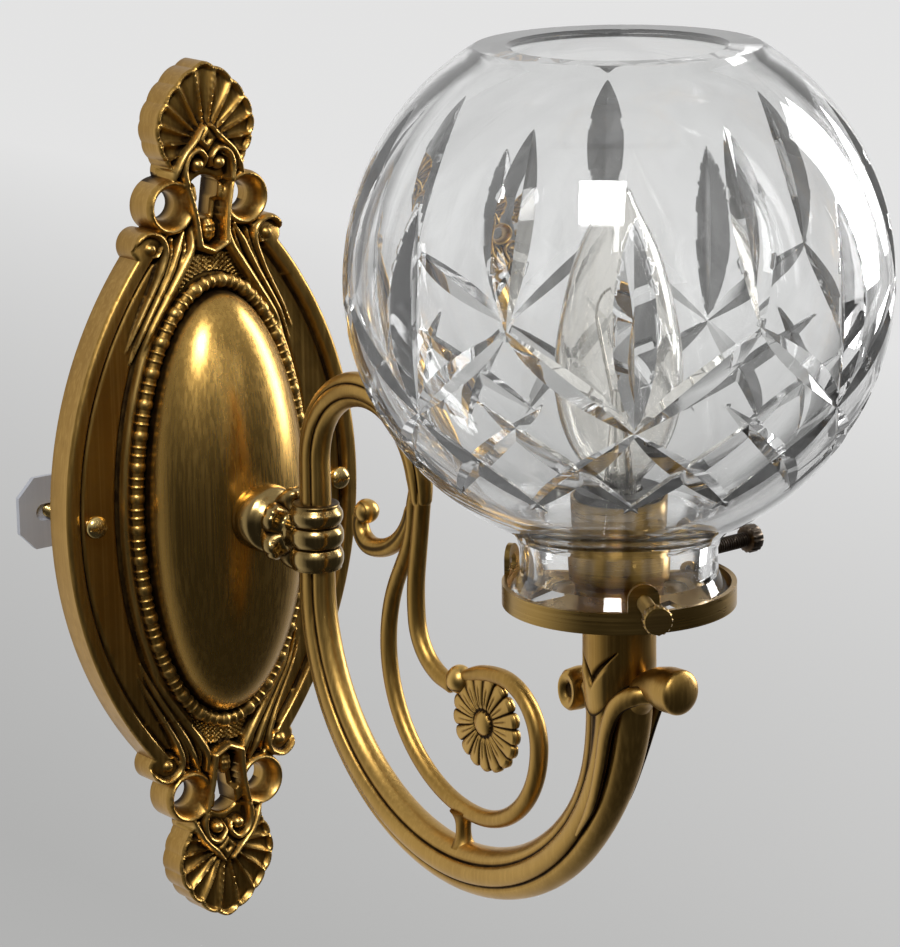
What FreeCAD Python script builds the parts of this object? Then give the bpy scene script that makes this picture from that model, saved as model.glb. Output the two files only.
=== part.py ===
import FreeCAD, Part
import math
import os
import Sketcher

Vector = FreeCAD.Vector

# Driving dimensions in millimetres, angles in degrees, grouped by the piece that carries them.
# The wall is the plane Y = 0, the front of the plate looks towards -Y, and the arm lies in X = 0.
SIZES = [
    # cast back plate
    ("plate_half_width", 53.0, "middle of the plate to its side edge"),
    ("plate_side_radius", 122.0, "radius of the two side arcs of the plate"),
    ("plate_depth", 10.0, "wall plane to the front of the rim"),
    ("plate_wall", 3.0, "thickness of the side wall"),
    ("plate_web", 3.0, "thickness of the sunk front panel"),
    ("rim_width", 4.6, "width of the rim around the sunk panel"),
    ("panel_sink", 1.6, "how far the panel lies below the rim"),
    ("pocket_half_height", 78.0, "half height of the hollow in the back"),
    ("oval_half_width", 34.6, "raised oval band, outside"),
    ("oval_half_height", 74.0, "raised oval band, outside"),
    ("oval_rise", 1.0, "raised oval band, height over the rim"),
    ("screw_spacing", 88.9, "distance between the two plate screws"),
    ("plate_hole_radius", 3.0, "clearance hole for a plate screw"),
    # pierced crest at each end of the plate
    ("crest_depth", 8.0, "thickness of the crest"),
    ("crest_reach", 133.4, "middle of the plate to the tip of the shell"),
    ("shell_half_width", 18.0, "scallop shell, half width"),
    ("shell_half_height", 18.2, "scallop shell, half height"),
    ("volute_offset", 21.9, "small volute, sideways from the middle"),
    ("volute_height", 80.9, "small volute, up from the middle"),
    ("volute_radius", 5.0, "small volute, outside radius"),
    ("eye_offset", 13.2, "pierced eye, sideways from the middle"),
    ("eye_height", 91.0, "pierced eye, up from the middle"),
    ("eye_radius", 8.4, "ring round a pierced eye, outside radius"),
    ("eye_hole_radius", 5.0, "pierced eye, hole radius"),
    ("keyhole_height", 87.2, "lower end of the pierced keyhole"),
    ("keyhole_length", 10.4, "height of the pierced keyhole"),
    ("keyhole_width", 7.6, "width of the pierced keyhole"),
    ("curl_foot_offset", 9.2, "roll at the foot of the shell, sideways from the middle"),
    ("curl_foot_height", 101.4, "roll at the foot of the shell, up from the middle"),
    ("curl_foot_radius", 4.6, "roll at the foot of the shell, radius"),
    # beaded moulding round the dome
    ("bead_half_width", 29.4, "centre line of the beaded moulding, half width"),
    ("bead_half_height", 67.6, "centre line of the beaded moulding, half height"),
    ("bead_radius", 2.8, "radius of the moulding's beads"),
    ("bead_sink", 1.2, "how far the moulding's centre stands off the band"),
    ("bead_reel_radius", 2.3, "radius of the moulding between its beads"),
    ("bead_pitch", 9.3, "distance from bead to bead along the moulding"),
    # spun dome and what clamps it
    ("dome_half_width", 25.8, "dome at its foot, half width"),
    ("dome_half_height", 63.4, "dome at its foot, half height"),
    ("dome_rise", 22.5, "dome, foot to crown"),
    ("dome_wall", 1.2, "sheet thickness of the dome"),
    ("dome_ledge", 2.4, "width of the ledge that the dome's edge stands on"),
    ("strap_half_length", 31.0, "strap across the back of the oval opening"),
    ("strap_half_width", 8.0, "strap, half height"),
    ("strap_thickness", 2.0, "strap, sheet thickness"),
    ("nipple_radius", 4.9, "threaded pipe, outside radius"),
    ("nipple_bore", 3.4, "threaded pipe, bore radius"),
    ("nipple_play", 0.2, "clearance of a plain hole round the pipe"),
    ("washer_radius", 8.0, "toothed washer, outside radius"),
    ("washer_thickness", 0.8, "toothed washer, thickness"),
    ("nut_across_flats", 14.0, "lock nut, across its flats"),
    ("nut_thickness", 2.4, "lock nut, thickness"),
    ("nipple_tail", 0.8, "pipe standing past its lock nut"),
    # hub and knuckle
    ("hub_foot_radius", 9.8, "hub where it meets the dome"),
    ("hub_waist_radius", 7.0, "hub between its boss and its collar"),
    ("hub_boss_length", 9.0, "hub, crown of the dome to the end of the boss"),
    ("hub_waist_length", 1.5, "hub, waist length"),
    ("hub_collar_radius", 12.6, "leafed collar, outside radius"),
    ("hub_collar_length", 8.0, "leafed collar, length"),
    ("hub_collar_notches", 6.0, "number of notches round the leafed collar"),
    ("hub_notch_radius", 2.2, "radius of a notch in the collar"),
    ("knuckle_offset", 60.8, "wall plane to the axis of the knuckle"),
    ("knuckle_radius", 7.7, "knuckle ring, outside radius"),
    ("knuckle_neck_radius", 6.9, "knuckle between its rings"),
    ("knuckle_half_height", 9.9, "knuckle, half its height"),
    ("knuckle_groove", 0.9, "width of a groove between the rings"),
    # arm
    ("arm_radius", 68.2, "bend of the lower arm, to its centre line"),
    ("arm_drop", 14.5, "middle of the knuckle down to the centre of the bend"),
    ("arm_half_thickness", 6.1, "lower arm, half its sideways thickness"),
    ("arm_lobe_radius", 4.5, "the two side lobes of the lower arm"),
    ("arm_lobe_offset", 3.0, "side lobe, offset from the centre line"),
    ("arm_bore", 3.2, "wire way through the lower arm, radius"),
    ("crook_radius", 25.3, "bend of the upper crook, to its centre line"),
    ("crook_rise", 22.5, "middle of the knuckle up to the centre of the crook"),
    ("crook_half_thickness", 4.4, "upper crook, half its sideways thickness"),
    ("crook_lobe_radius", 3.2, "the two side lobes of the upper crook"),
    ("crook_lobe_offset", 2.0, "side lobe of the crook, offset"),
    # scroll work inside the arm
    ("stem_radius", 2.6, "stem that runs down from the crook"),
    ("stem_shift", 1.5, "stem, offset from the end of the crook, away from the wall"),
    ("stem_lean", 9.0, "stem, lean from upright where it leaves the crook"),
    ("stem_length", 22.0, "straight part of the stem"),
    ("stem_sweep_radius", 60.0, "stem, wide sweep below its straight part"),
    ("stem_sweep_angle", 15.0, "stem, angle of the wide sweep"),
    ("stem_turn_radius", 17.0, "turn at the foot of the stem"),
    ("stem_turn_angle", 67.0, "angle of the turn at the foot of the stem"),
    ("stem_end", 5.0, "straight end of the stem"),
    ("strand_radius", 2.4, "thin strands of the scroll"),
    ("ring_upper_radius", 46.0, "ring strand, upper sweep"),
    ("ring_upper_angle", 28.0, "ring strand, angle of the upper sweep"),
    ("ring_neck", 8.0, "ring strand, straight part over the upper sweep"),
    ("ring_back_radius", 30.0, "ring strand, bend up beside the stem"),
    ("ring_back_angle", 24.0, "ring strand, angle of the bend beside the stem"),
    ("ring_top", 7.5, "ring strand, straight part up to the crook"),
    ("ring_belly_radius", 41.0, "ring strand, belly"),
    ("ring_heel_radius", 27.0, "ring strand, heel"),
    ("ring_head_radius", 16.5, "ring strand, head"),
    ("ring_tip_radius", 36.0, "ring strand, run to its tip"),
    ("ring_tip_angle", 31.0, "ring strand, angle of the run to its tip"),
    ("ring_foot_offset", 136.2, "wall plane to the lowest point of the ring strand"),
    ("ball_radius", 4.0, "ball on the tip of the ring strand"),
    ("post_length", 6.6, "post between the ring strand and the arm"),
    ("post_radius", 2.5, "post radius"),
    ("curl_top", 16.4, "curl, middle of the knuckle up to where it leaves the ring strand"),
    ("curl_offset", 107.6, "wall plane to where the curl leaves the ring strand"),
    ("curl_sweep_radius", 19.0, "curl, sweep away from the stem"),
    ("curl_sweep_angle", 75.0, "curl, angle of the sweep"),
    ("curl_turn_radius", 6.0, "curl, turn under its ball"),
    ("curl_end_radius", 4.0, "curl, last turn round its ball"),
    ("curl_ball_radius", 3.6, "ball inside the curl"),
    ("rosette_offset", 140.2, "wall plane to the middle of the rosette"),
    ("rosette_drop", 37.6, "middle of the knuckle down to the rosette"),
    ("rosette_radius", 14.2, "rosette, outside radius"),
    ("rosette_half_thickness", 1.5, "rosette, half its thickness"),
    ("rosette_boss_radius", 3.6, "round boss in the middle of the rosette"),
    ("rosette_boss_rise", 1.0, "boss over the petals"),
    # leaf cup at the end of the arm
    ("cup_radius", 9.8, "sleeve under the shade holder"),
    ("cup_waist_radius", 8.2, "sleeve where the arm enters"),
    ("cup_bore_radius", 4.9, "threaded bore of the sleeve"),
    ("arm_up_leg", 1.0, "straight end of the arm under the sleeve"),
    ("leaf_reach_inner", 12.9, "axis of the sleeve to the middle of the leaf curl on the wall side"),
    ("leaf_reach_outer", 15.8, "axis of the sleeve to the middle of the leaf curl on the room side"),
    ("leaf_rise", 0.2, "foot of the sleeve up to the middle of a leaf curl"),
    ("leaf_curl_radius", 5.2, "leaf curl, radius"),
    ("leaf_half_width", 4.6, "leaf curl, half its width"),
    ("leaf_web", 3.2, "thickness of a leaf between sleeve and curl"),
    # shade holder
    ("holder_base", 10.4, "middle of the knuckle up to the under side of the holder"),
    ("holder_radius", 31.0, "rim of the holder, outside radius"),
    ("holder_wall", 1.4, "sheet thickness of the rim"),
    ("holder_floor", 1.2, "sheet thickness of the floor"),
    ("holder_rim_height", 5.8, "height of the rim"),
    ("tab_width", 8.2, "screw tab, width"),
    ("tab_height", 7.5, "screw tab, height over the rim"),
    ("window_inner", 15.5, "floor window, from the axis"),
    ("window_length", 9.0, "floor window, radial length"),
    ("window_width", 7.0, "floor window, width"),
    ("first_tab_angle", -118.5, "direction of the first tab, from +X"),
    # thumb screws
    ("thumb_axis_rise", 2.6, "rim of the holder up to the screw axis"),
    ("thumb_shank_radius", 2.08, "thread of a thumb screw"),
    ("thumb_play", 0.06, "running clearance of the thread"),
    ("thumb_shank_length", 15.9, "thumb screw under its head"),
    ("thumb_head_radius", 3.85, "knurled head, radius"),
    ("thumb_head_length", 3.4, "knurled head, length"),
    ("thumb_tip_a", 28.8, "tip of the tightened screw, from the axis"),
    ("thumb_tip_b", 30.2, "tip of the backed out screw, from the axis"),
    # lamp socket
    ("socket_cup_radius", 13.0, "brass cup round the socket"),
    ("socket_cup_foot_radius", 11.6, "brass cup at its foot"),
    ("socket_cup_wall", 0.8, "sheet thickness of the cup"),
    ("socket_cup_height", 27.0, "height of the cup"),
    ("socket_foot_height", 5.0, "height of the cup's narrow foot"),
    ("end_nut_thickness", 3.0, "nut that clamps holder and cup"),
    ("end_nipple_tail", 1.4, "end pipe standing past its nut"),
    ("end_nipple_grip", 14.0, "end pipe, length inside the sleeve"),
    ("insulator_radius", 11.6, "socket insulator, outside radius"),
    ("insulator_wall", 3.6, "socket insulator, wall"),
    ("insulator_floor", 3.0, "socket insulator, floor"),
    ("insulator_lift", 1.0, "insulator over the end of the pipe"),
    ("insulator_proud", 2.0, "insulator standing out of the cup"),
    ("shell_wall", 0.4, "screw shell, sheet thickness"),
    ("contact_radius", 2.2, "centre contact, radius"),
    ("contact_height", 1.6, "centre contact, height"),
    # lamp
    ("lamp_cap_radius", 5.9, "screw cap of the lamp, radius"),
    ("lamp_cap_length", 17.0, "screw cap of the lamp, length"),
    ("lamp_cap_play", 0.08, "running clearance of the cap in its shell"),
    ("lamp_tip_radius", 2.6, "insulated tip of the cap"),
    ("lamp_tip_height", 2.0, "insulated tip of the cap, height"),
    ("lamp_contact_gap", 0.1, "tip of the lamp over the centre contact"),
    ("lamp_length", 80.0, "glass of the lamp, from cap to top"),
    ("lamp_radius", 17.0, "glass of the lamp, largest radius"),
    ("lamp_wall", 0.8, "glass of the lamp, wall"),
    ("stem_foot_radius", 4.0, "glass mount inside the lamp, foot"),
    ("stem_tip_radius", 1.5, "glass mount inside the lamp, tip"),
    ("stem_height", 26.0, "glass mount inside the lamp, height"),
    ("filament_radius", 9.0, "loop of the filament"),
    ("filament_wire", 0.35, "filament, wire radius"),
    ("support_wire", 0.5, "wires that carry the filament"),
    # crystal globe
    ("globe_radius", 71.3, "globe, outside radius"),
    ("globe_wall", 4.6, "globe, glass thickness"),
    ("globe_foot_rise", 14.1, "floor of the holder up to the lowest point of the globe's sphere"),
    ("globe_mouth_radius", 37.1, "flat cut mouth, outside radius"),
    ("globe_waist_radius", 26.0, "waist over the lip"),
    ("globe_lip_radius", 28.6, "lip that stands in the holder"),
    ("globe_lip_height", 3.2, "straight part of the lip"),
    ("globe_flare_height", 6.4, "lip up to the waist"),
    ("globe_waist_height", 4.6, "straight part of the waist"),
    ("globe_neck_wall", 4.4, "glass thickness of the waist"),
    ("globe_seat", 0.3, "globe over the floor of the holder"),
    # wires
    ("wire_radius", 1.0, "insulated wire"),
    ("wire_half_spacing", 1.3, "wire to the middle of the wire way"),
    ("wire_turn_radius", 6.0, "wire at the knuckle"),
    ("wire_back_turn", 3.0, "wire turning aside behind the pipe"),
    ("wire_tail", 3.0, "wire run into its connector"),
    ("wire_outlet", 3.0, "wire standing out of the pipe"),
    ("connector_radius", 4.2, "wire connector, radius"),
    ("connector_length", 14.0, "wire connector, length"),
    # crossbar and its screws
    ("bar_gap", 13.4, "wall plane to the front of the crossbar"),
    ("bar_thickness", 1.6, "crossbar, sheet thickness"),
    ("bar_half_length", 55.5, "crossbar, half length"),
    ("bar_half_width", 11.0, "crossbar, half width"),
    ("bar_corner", 5.5, "cut corners of the crossbar"),
    ("slot_half_width", 2.6, "slots of the crossbar, half width"),
    ("slot_half_length", 5.2, "slots of the crossbar, half length"),
    ("box_screw_spacing", 69.85, "distance between the outlet box screws"),
    ("box_slot_half_length", 3.2, "outlet box slots, half length"),
    ("box_slot_half_width", 2.3, "outlet box slots, half width"),
    ("bar_centre_radius", 4.9, "tapped hole in the middle of the crossbar"),
    ("screw_radius", 2.08, "plate screw, thread radius"),
    ("screw_length", 38.1, "plate screw under its head"),
    ("screw_head_radius", 3.6, "plate screw, head radius"),
    ("screw_head_height", 2.6, "plate screw, head height"),
    ("screw_head_gap", 3.0, "plate screw head off the sunk panel"),
    ("screw_slot_width", 0.9, "driver slot"),
    ("screw_slot_depth", 1.1, "driver slot"),
    ("clip_nut_across_flats", 8.7, "nut on a plate screw"),
    ("clip_nut_thickness", 3.0, "nut on a plate screw"),
    ("ground_offset", 17.0, "grounding screw, from the middle of the crossbar"),
    ("ground_screw_length", 7.0, "grounding screw under its head"),
    ("ground_head_radius", 4.2, "grounding screw, head radius"),
    ("ground_head_height", 2.0, "grounding screw, head height"),
    ("overrun", 2.0, "how far a cut runs past its piece"),
]

doc = FreeCAD.newDocument("WallSconce")
sheet = doc.addObject("Spreadsheet::Sheet", "Sizes")


class Size:
    """A length and the cell expression that gives it, so that numbers and bindings agree."""

    def __init__(self, value, text):
        self.value = value
        self.text = text

    def __add__(self, other):
        other = size(other)
        return Size(self.value + other.value, "(%s + %s)" % (self.text, other.text))

    def __sub__(self, other):
        other = size(other)
        return Size(self.value - other.value, "(%s - %s)" % (self.text, other.text))

    def __rsub__(self, other):
        return size(other) - self

    def __mul__(self, share):
        share = size(share)
        return Size(self.value * share.value, "(%s * %s)" % (self.text, share.text))

    def __truediv__(self, share):
        share = size(share)
        return Size(self.value / share.value, "(%s / %s)" % (self.text, share.text))

    def __neg__(self):
        return Size(-self.value, "(0 - %s)" % self.text)

    __radd__ = __add__
    __rmul__ = __mul__


def size(thing):
    """A plain number, such as zero or a share, as a Size."""
    return thing if isinstance(thing, Size) else Size(float(thing), repr(thing))


class Cells:
    """The sizes of the sheet by name."""


for row, (name, number, meaning) in enumerate(SIZES, start=1):
    sheet.set("A%d" % row, meaning)
    sheet.set("B%d" % row, str(number))
    sheet.setAlias("B%d" % row, name)
doc.recompute()
S = Cells()
for name, number, meaning in SIZES:
    setattr(S, name, Size(float(sheet.get(name)), "Sizes." + name))

# Turns that lay a piece drawn along Z on another axis.
UPRIGHT = FreeCAD.Rotation()
TO_WALL = FreeCAD.Rotation(Vector(1, 0, 0), -90)
TO_ROOM = FreeCAD.Rotation(Vector(1, 0, 0), 90)
SIDEWAYS = FreeCAD.Rotation(Vector(0, 1, 0), 90)
DOWN_BEND = FreeCAD.Rotation(Vector(0, 1, 0), Vector(0, 0, -1), Vector(-1, 0, 0), "XYZ")
UP_BEND = FreeCAD.Rotation(Vector(0, 1, 0), Vector(0, 0, 1), Vector(1, 0, 0), "XYZ")


def bind(thing, **cells):
    """Bind properties of an object to the sheet."""
    for prop, value in cells.items():
        thing.setExpression(prop, size(value).text)
    return thing


def place(thing, at, turn=UPRIGHT):
    """Give an object its turn, and bind its position to the sheet."""
    thing.Placement = FreeCAD.Placement(Vector(), turn)
    for letter, value in zip("xyz", at):
        thing.setExpression("Placement.Base." + letter, size(value).text)
    return thing


def cylinder(name, radius, length, at, turn=UPRIGHT):
    made = doc.addObject("Part::Cylinder", name)
    return place(bind(made, Radius=radius, Height=length), at, turn)


def box(name, corner, lengths, turn=UPRIGHT):
    made = doc.addObject("Part::Box", name)
    bind(made, Length=lengths[0], Width=lengths[1], Height=lengths[2])
    return place(made, corner, turn)


def centred_box(name, centre, halves):
    corner = [size(c) - size(half) for c, half in zip(centre, halves)]
    return box(name, corner, [size(half) * 2 for half in halves])


def sphere(name, radius, at):
    made = doc.addObject("Part::Sphere", name)
    return place(bind(made, Radius=radius), at)


def ellipsoid(name, half_x, half_y, half_z, at):
    made = doc.addObject("Part::Ellipsoid", name)
    made.Angle1 = -90
    return place(bind(made, Radius1=half_z, Radius2=half_x, Radius3=half_y), at)


def torus_part(name, bend, radius, sweep, at, turn):
    """A round bar bent through the angle sweep."""
    made = doc.addObject("Part::Torus", name)
    made.Angle3 = sweep
    return place(bind(made, Radius1=bend, Radius2=radius), at, turn)


def oval_prism(name, half_width, half_height, front, depth):
    """An upright oval, pushed from the plane Y = front towards the wall by depth."""
    outline = doc.addObject("Part::Ellipse", name + "_outline")
    outline.Placement = FreeCAD.Placement(Vector(), FreeCAD.Rotation(
        Vector(0, 0, 1), Vector(-1, 0, 0), Vector(0, -1, 0), "XYZ"))
    bind(outline, MajorRadius=half_height, MinorRadius=half_width)
    outline.setExpression("Placement.Base.y", size(front).text)
    made = doc.addObject("Part::Extrusion", name)
    made.Base = outline
    made.DirMode = "Custom"
    made.Dir = Vector(0, 1, 0)
    made.Solid = True
    return bind(made, LengthFwd=depth)


def prism_polygon(name, sides, radius, length, at, turn=UPRIGHT):
    made = doc.addObject("Part::Prism", name)
    made.Polygon = sides
    return place(bind(made, Circumradius=radius, Height=length), at, turn)


def fuse(name, *things):
    made = doc.addObject("Part::MultiFuse", name)
    made.Shapes = list(things)
    return made


def cut(name, base, *tools):
    made = doc.addObject("Part::Cut", name)
    made.Base = base
    made.Tool = tools[0] if len(tools) == 1 else fuse(name + "_tools", *tools)
    return made


def common(name, *things):
    made = doc.addObject("Part::MultiCommon", name)
    made.Shapes = list(things)
    return made


def turned(name, outline, at, turn=UPRIGHT):
    """A body turned on a lathe: outline lists (radius, height) pairs round the profile."""
    body = doc.addObject("PartDesign::Body", name)
    sketch = body.newObject("Sketcher::SketchObject", name + "_profile")
    plane = [f for f in body.Origin.OriginFeatures if f.Role == "XZ_Plane"][0]
    sketch.AttachmentSupport = [(plane, "")]
    sketch.MapMode = "FlatFace"
    corners = [(size(radius), size(height)) for radius, height in outline]
    for index, (radius, height) in enumerate(corners):
        following = corners[(index + 1) % len(corners)]
        sketch.addGeometry(Part.LineSegment(Vector(radius.value, height.value, 0),
                                            Vector(following[0].value, following[1].value, 0)))
    for index in range(len(corners)):
        sketch.addConstraint(Sketcher.Constraint("Coincident", index, 2, (index + 1) % len(corners), 1))
    for index, (radius, height) in enumerate(corners):
        for kind, value, axis in (("DistanceX", radius, -2), ("DistanceY", height, -1)):
            if value.value == 0:
                sketch.addConstraint(Sketcher.Constraint("PointOnObject", index, 1, axis))
            else:
                datum = sketch.addConstraint(Sketcher.Constraint(kind, -1, 1, index, 1, value.value))
                sketch.setExpression("Constraints[%d]" % datum, value.text)
    lathe = body.newObject("PartDesign::Revolution", name + "_turning")
    lathe.Profile = sketch
    lathe.ReferenceAxis = (sketch, ["V_Axis"])
    lathe.Angle = 360
    body.Tip = lathe
    return place(body, at, turn)


def solid(name, shape):
    """A piece whose shape is worked out below from the sheet's sizes."""
    made = doc.addObject("Part::Feature", name)
    made.Shape = shape
    return made


class Path:
    """A chain of arcs and straight runs in a plane of constant X, each tangent to the last."""

    def __init__(self, x, y, z, heading):
        self.point = Vector(x, y, z)
        self.heading = math.radians(heading)
        self.edges = []
        self.centre = None

    def direction(self):
        return Vector(0, math.cos(self.heading), math.sin(self.heading))

    def run(self, length):
        end = self.point + self.direction() * length
        self.edges.append(Part.LineSegment(self.point, end).toShape())
        self.point = end
        return self

    def arc(self, radius, angle):
        """Turn by angle degrees, to the left where positive, looking from +X with Y to the right."""
        side = math.copysign(1, angle)
        normal = Vector(0, -math.sin(self.heading), math.cos(self.heading)) * side
        centre = self.point + normal * radius

        def at(turn):
            rotation = FreeCAD.Rotation(Vector(1, 0, 0), turn)
            return centre + rotation.multVec(self.point - centre)

        middle, end = at(angle / 2), at(angle)
        self.edges.append(Part.Arc(self.point, middle, end).toShape())
        self.centre = centre
        self.point = end
        self.heading += math.radians(angle)
        return self

    def wire(self):
        return Part.Wire(self.edges)

    def tube(self, radius):
        """A round bar of the given radius carried along the path."""
        wire = self.wire()
        start = wire.OrderedVertexes[0].Point
        first = self.edges[0]
        tangent = first.tangentAt(first.FirstParameter)
        section = Part.Wire([Part.makeCircle(radius, start, tangent)])
        return wire.makePipeShell([section], True, False)


PLATE_FRONT = -S.plate_depth
BAND_FRONT = PLATE_FRONT - S.oval_rise
PANEL_FRONT = PLATE_FRONT + S.panel_sink
PANEL_BACK = PANEL_FRONT + S.plate_web
HALF_SCREWS = S.screw_spacing / 2


def lens(name, inset, front, depth):
    """The almond outline of the plate, inset all round: two large discs in common."""
    shift = S.plate_side_radius - S.plate_half_width
    left = cylinder(name + "_left", S.plate_side_radius - inset, depth, (shift, front, 0), TO_WALL)
    right = cylinder(name + "_right", S.plate_side_radius - inset, depth, (-shift, front, 0), TO_WALL)
    return common(name, left, right)


def ends(name, height, front, depth):
    """Two boxes that take in all of the plate above and below the given height."""
    return [box("%s_%s" % (name, end), (-S.plate_half_width, front, corner),
                (S.plate_half_width * 2, depth, S.crest_reach))
            for end, corner in (("top", height), ("foot", -height - S.crest_reach))]


def make_backplate():
    """Hollow casting: rim, sunk panel, raised oval band, and a pierced crest at each end."""
    crests, holes = [], []
    crest_front = -S.crest_depth
    for end, up in (("top", 1), ("foot", -1)):
        shell = oval_prism("shell_" + end, S.shell_half_width, S.shell_half_height,
                           crest_front, S.crest_depth)
        shell.setExpression("Placement.Base.z", ((S.crest_reach - S.shell_half_height) * up).text)
        crests.append(shell)
        keyhole = box("keyhole_" + end,
                      (-S.keyhole_width / 2, crest_front - S.overrun,
                       S.keyhole_height if up > 0 else -S.keyhole_height - S.keyhole_length),
                      (S.keyhole_width, S.crest_depth + S.plate_depth, S.keyhole_length))
        holes.append(keyhole)
        for side, across in (("left", -1), ("right", 1)):
            tag = "_%s_%s" % (end, side)
            crests.append(cylinder("volute" + tag, S.volute_radius, S.crest_depth,
                                   (S.volute_offset * across, crest_front, S.volute_height * up), TO_WALL))
            crests.append(cylinder("eye" + tag, S.eye_radius, S.crest_depth,
                                   (S.eye_offset * across, crest_front, S.eye_height * up), TO_WALL))
            crests.append(cylinder("foot_roll" + tag, S.curl_foot_radius, S.crest_depth,
                                   (S.curl_foot_offset * across, crest_front, S.curl_foot_height * up),
                                   TO_WALL))
            holes.append(cylinder("eye_hole" + tag, S.eye_hole_radius, S.crest_depth + S.plate_depth,
                                  (S.eye_offset * across, PLATE_FRONT, S.eye_height * up), TO_WALL))
    rim = lens("plate_block", 0, PLATE_FRONT, S.plate_depth)
    sink = lens("plate_sink", S.rim_width, PLATE_FRONT - S.overrun, S.panel_sink + S.overrun)
    above = PLATE_FRONT - S.overrun
    crest_zone = ends("crest_zone", S.pocket_half_height, above, S.plate_depth)
    sunk = cut("plate_sunk", rim, cut("plate_sink_middle", sink, *crest_zone))
    crest_step = ends("crest_step", S.pocket_half_height, above, S.plate_depth - S.crest_depth + S.overrun)
    stepped = cut("plate_stepped", sunk, *crest_step)
    band = oval_prism("oval_band", S.oval_half_width, S.oval_half_height, BAND_FRONT,
                      PANEL_BACK - BAND_FRONT)
    block = fuse("plate_solid", stepped, band, *crests)
    pocket = cut("plate_pocket", lens("plate_hollow", S.plate_wall, PANEL_BACK, S.plate_depth),
                 *ends("pocket_stop", S.pocket_half_height - S.plate_wall, PANEL_BACK, S.plate_depth))
    opening = oval_prism("oval_opening", S.dome_half_width - S.dome_ledge,
                         S.dome_half_height - S.dome_ledge, BAND_FRONT - S.overrun, S.plate_depth * 2)
    screw_holes = [cylinder("plate_hole_" + side, S.plate_hole_radius, S.plate_depth * 2,
                            (HALF_SCREWS * across, BAND_FRONT, 0), TO_WALL)
                   for side, across in (("left", -1), ("right", 1))]
    return cut("backplate", block, pocket, opening, *(screw_holes + holes))


def make_bead_ring():
    """Beaded moulding round the dome: an oval bar, and a bead at every pitch along it."""
    across, up = S.bead_half_width.value, S.bead_half_height.value
    centre_y = (BAND_FRONT - S.bead_sink).value
    oval = Part.Ellipse(Vector(0, centre_y, up), Vector(across, centre_y, 0), Vector(0, centre_y, 0))
    line = oval.toShape()
    wire = Part.Wire([line])
    tangent = line.tangentAt(line.FirstParameter)
    section = Part.Wire([Part.makeCircle(S.bead_reel_radius.value, line.valueAt(line.FirstParameter), tangent)])
    ring = wire.makePipeShell([section], True, False)
    count = 2 * round(line.Length / S.bead_pitch.value / 2)
    for place_on_line in line.discretize(count + 1)[:-1]:
        ring = ring.fuse(Part.makeSphere(S.bead_radius.value, place_on_line))
    keep = Part.makeBox(4 * across, S.plate_depth.value, 4 * up,
                        Vector(-2 * across, (BAND_FRONT - S.plate_depth).value, -2 * up))
    return solid("bead_ring", ring.common(keep))


def make_dome():
    """Spun sheet dome with a hole in its crown for the threaded pipe."""
    outer = ellipsoid("dome_outside", S.dome_half_width, S.dome_rise, S.dome_half_height, (0, BAND_FRONT, 0))
    inner = ellipsoid("dome_inside", S.dome_half_width - S.dome_wall, S.dome_rise - S.dome_wall,
                      S.dome_half_height - S.dome_wall, (0, BAND_FRONT, 0))
    behind = box("dome_behind", (-S.dome_half_width * 2, BAND_FRONT, -S.dome_half_height * 2),
                 (S.dome_half_width * 4, S.dome_rise * 2, S.dome_half_height * 4))
    bore = cylinder("dome_bore", S.nipple_radius + S.nipple_play, S.dome_rise * 2,
                    (0, BAND_FRONT - S.dome_rise - S.overrun, 0), TO_WALL)
    return cut("dome", outer, inner, behind, bore)


CROWN = BAND_FRONT - S.dome_rise
STRAP_BACK = PANEL_BACK + S.strap_thickness
NUT_FRONT = STRAP_BACK + S.washer_thickness
NIPPLE_BACK = NUT_FRONT + S.nut_thickness + S.nipple_tail
HUB_END = CROWN - S.hub_boss_length - S.hub_waist_length - S.hub_collar_length
NIPPLE_FRONT = CROWN - S.hub_boss_length


def make_clamp():
    """Strap, pipe, washer and nut that pull the hub and the dome against the plate."""
    bar = centred_box("strap_bar", (0, PANEL_BACK + S.strap_thickness / 2, 0),
                      (S.strap_half_length, S.strap_thickness / 2, S.strap_half_width))
    hole = cylinder("strap_hole", S.nipple_radius + S.nipple_play, S.plate_depth * 2,
                    (0, PANEL_BACK - S.overrun, 0), TO_WALL)
    length = NIPPLE_BACK - NIPPLE_FRONT
    bore, outside = S.nipple_bore, S.nipple_radius
    tube = [(bore, 0), (outside, 0), (outside, length), (bore, length)]
    inner, outer = S.nipple_radius + S.nipple_play, S.washer_radius
    washer = [(inner, 0), (outer, 0), (outer, S.washer_thickness), (inner, S.washer_thickness)]
    nut_block = prism_polygon("hub_nut_block", 6, S.nut_across_flats / math.sqrt(3), S.nut_thickness,
                              (0, NUT_FRONT, 0), TO_WALL)
    nut_hole = cylinder("hub_nut_hole", S.nipple_radius, S.nut_thickness + S.overrun * 2,
                        (0, NUT_FRONT - S.overrun, 0), TO_WALL)
    return [cut("dome_strap", bar, hole),
            turned("hub_nipple", tube, (0, NIPPLE_FRONT, 0), TO_WALL),
            turned("hub_washer", washer, (0, STRAP_BACK, 0), TO_WALL),
            cut("hub_nut", nut_block, nut_hole)]


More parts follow.
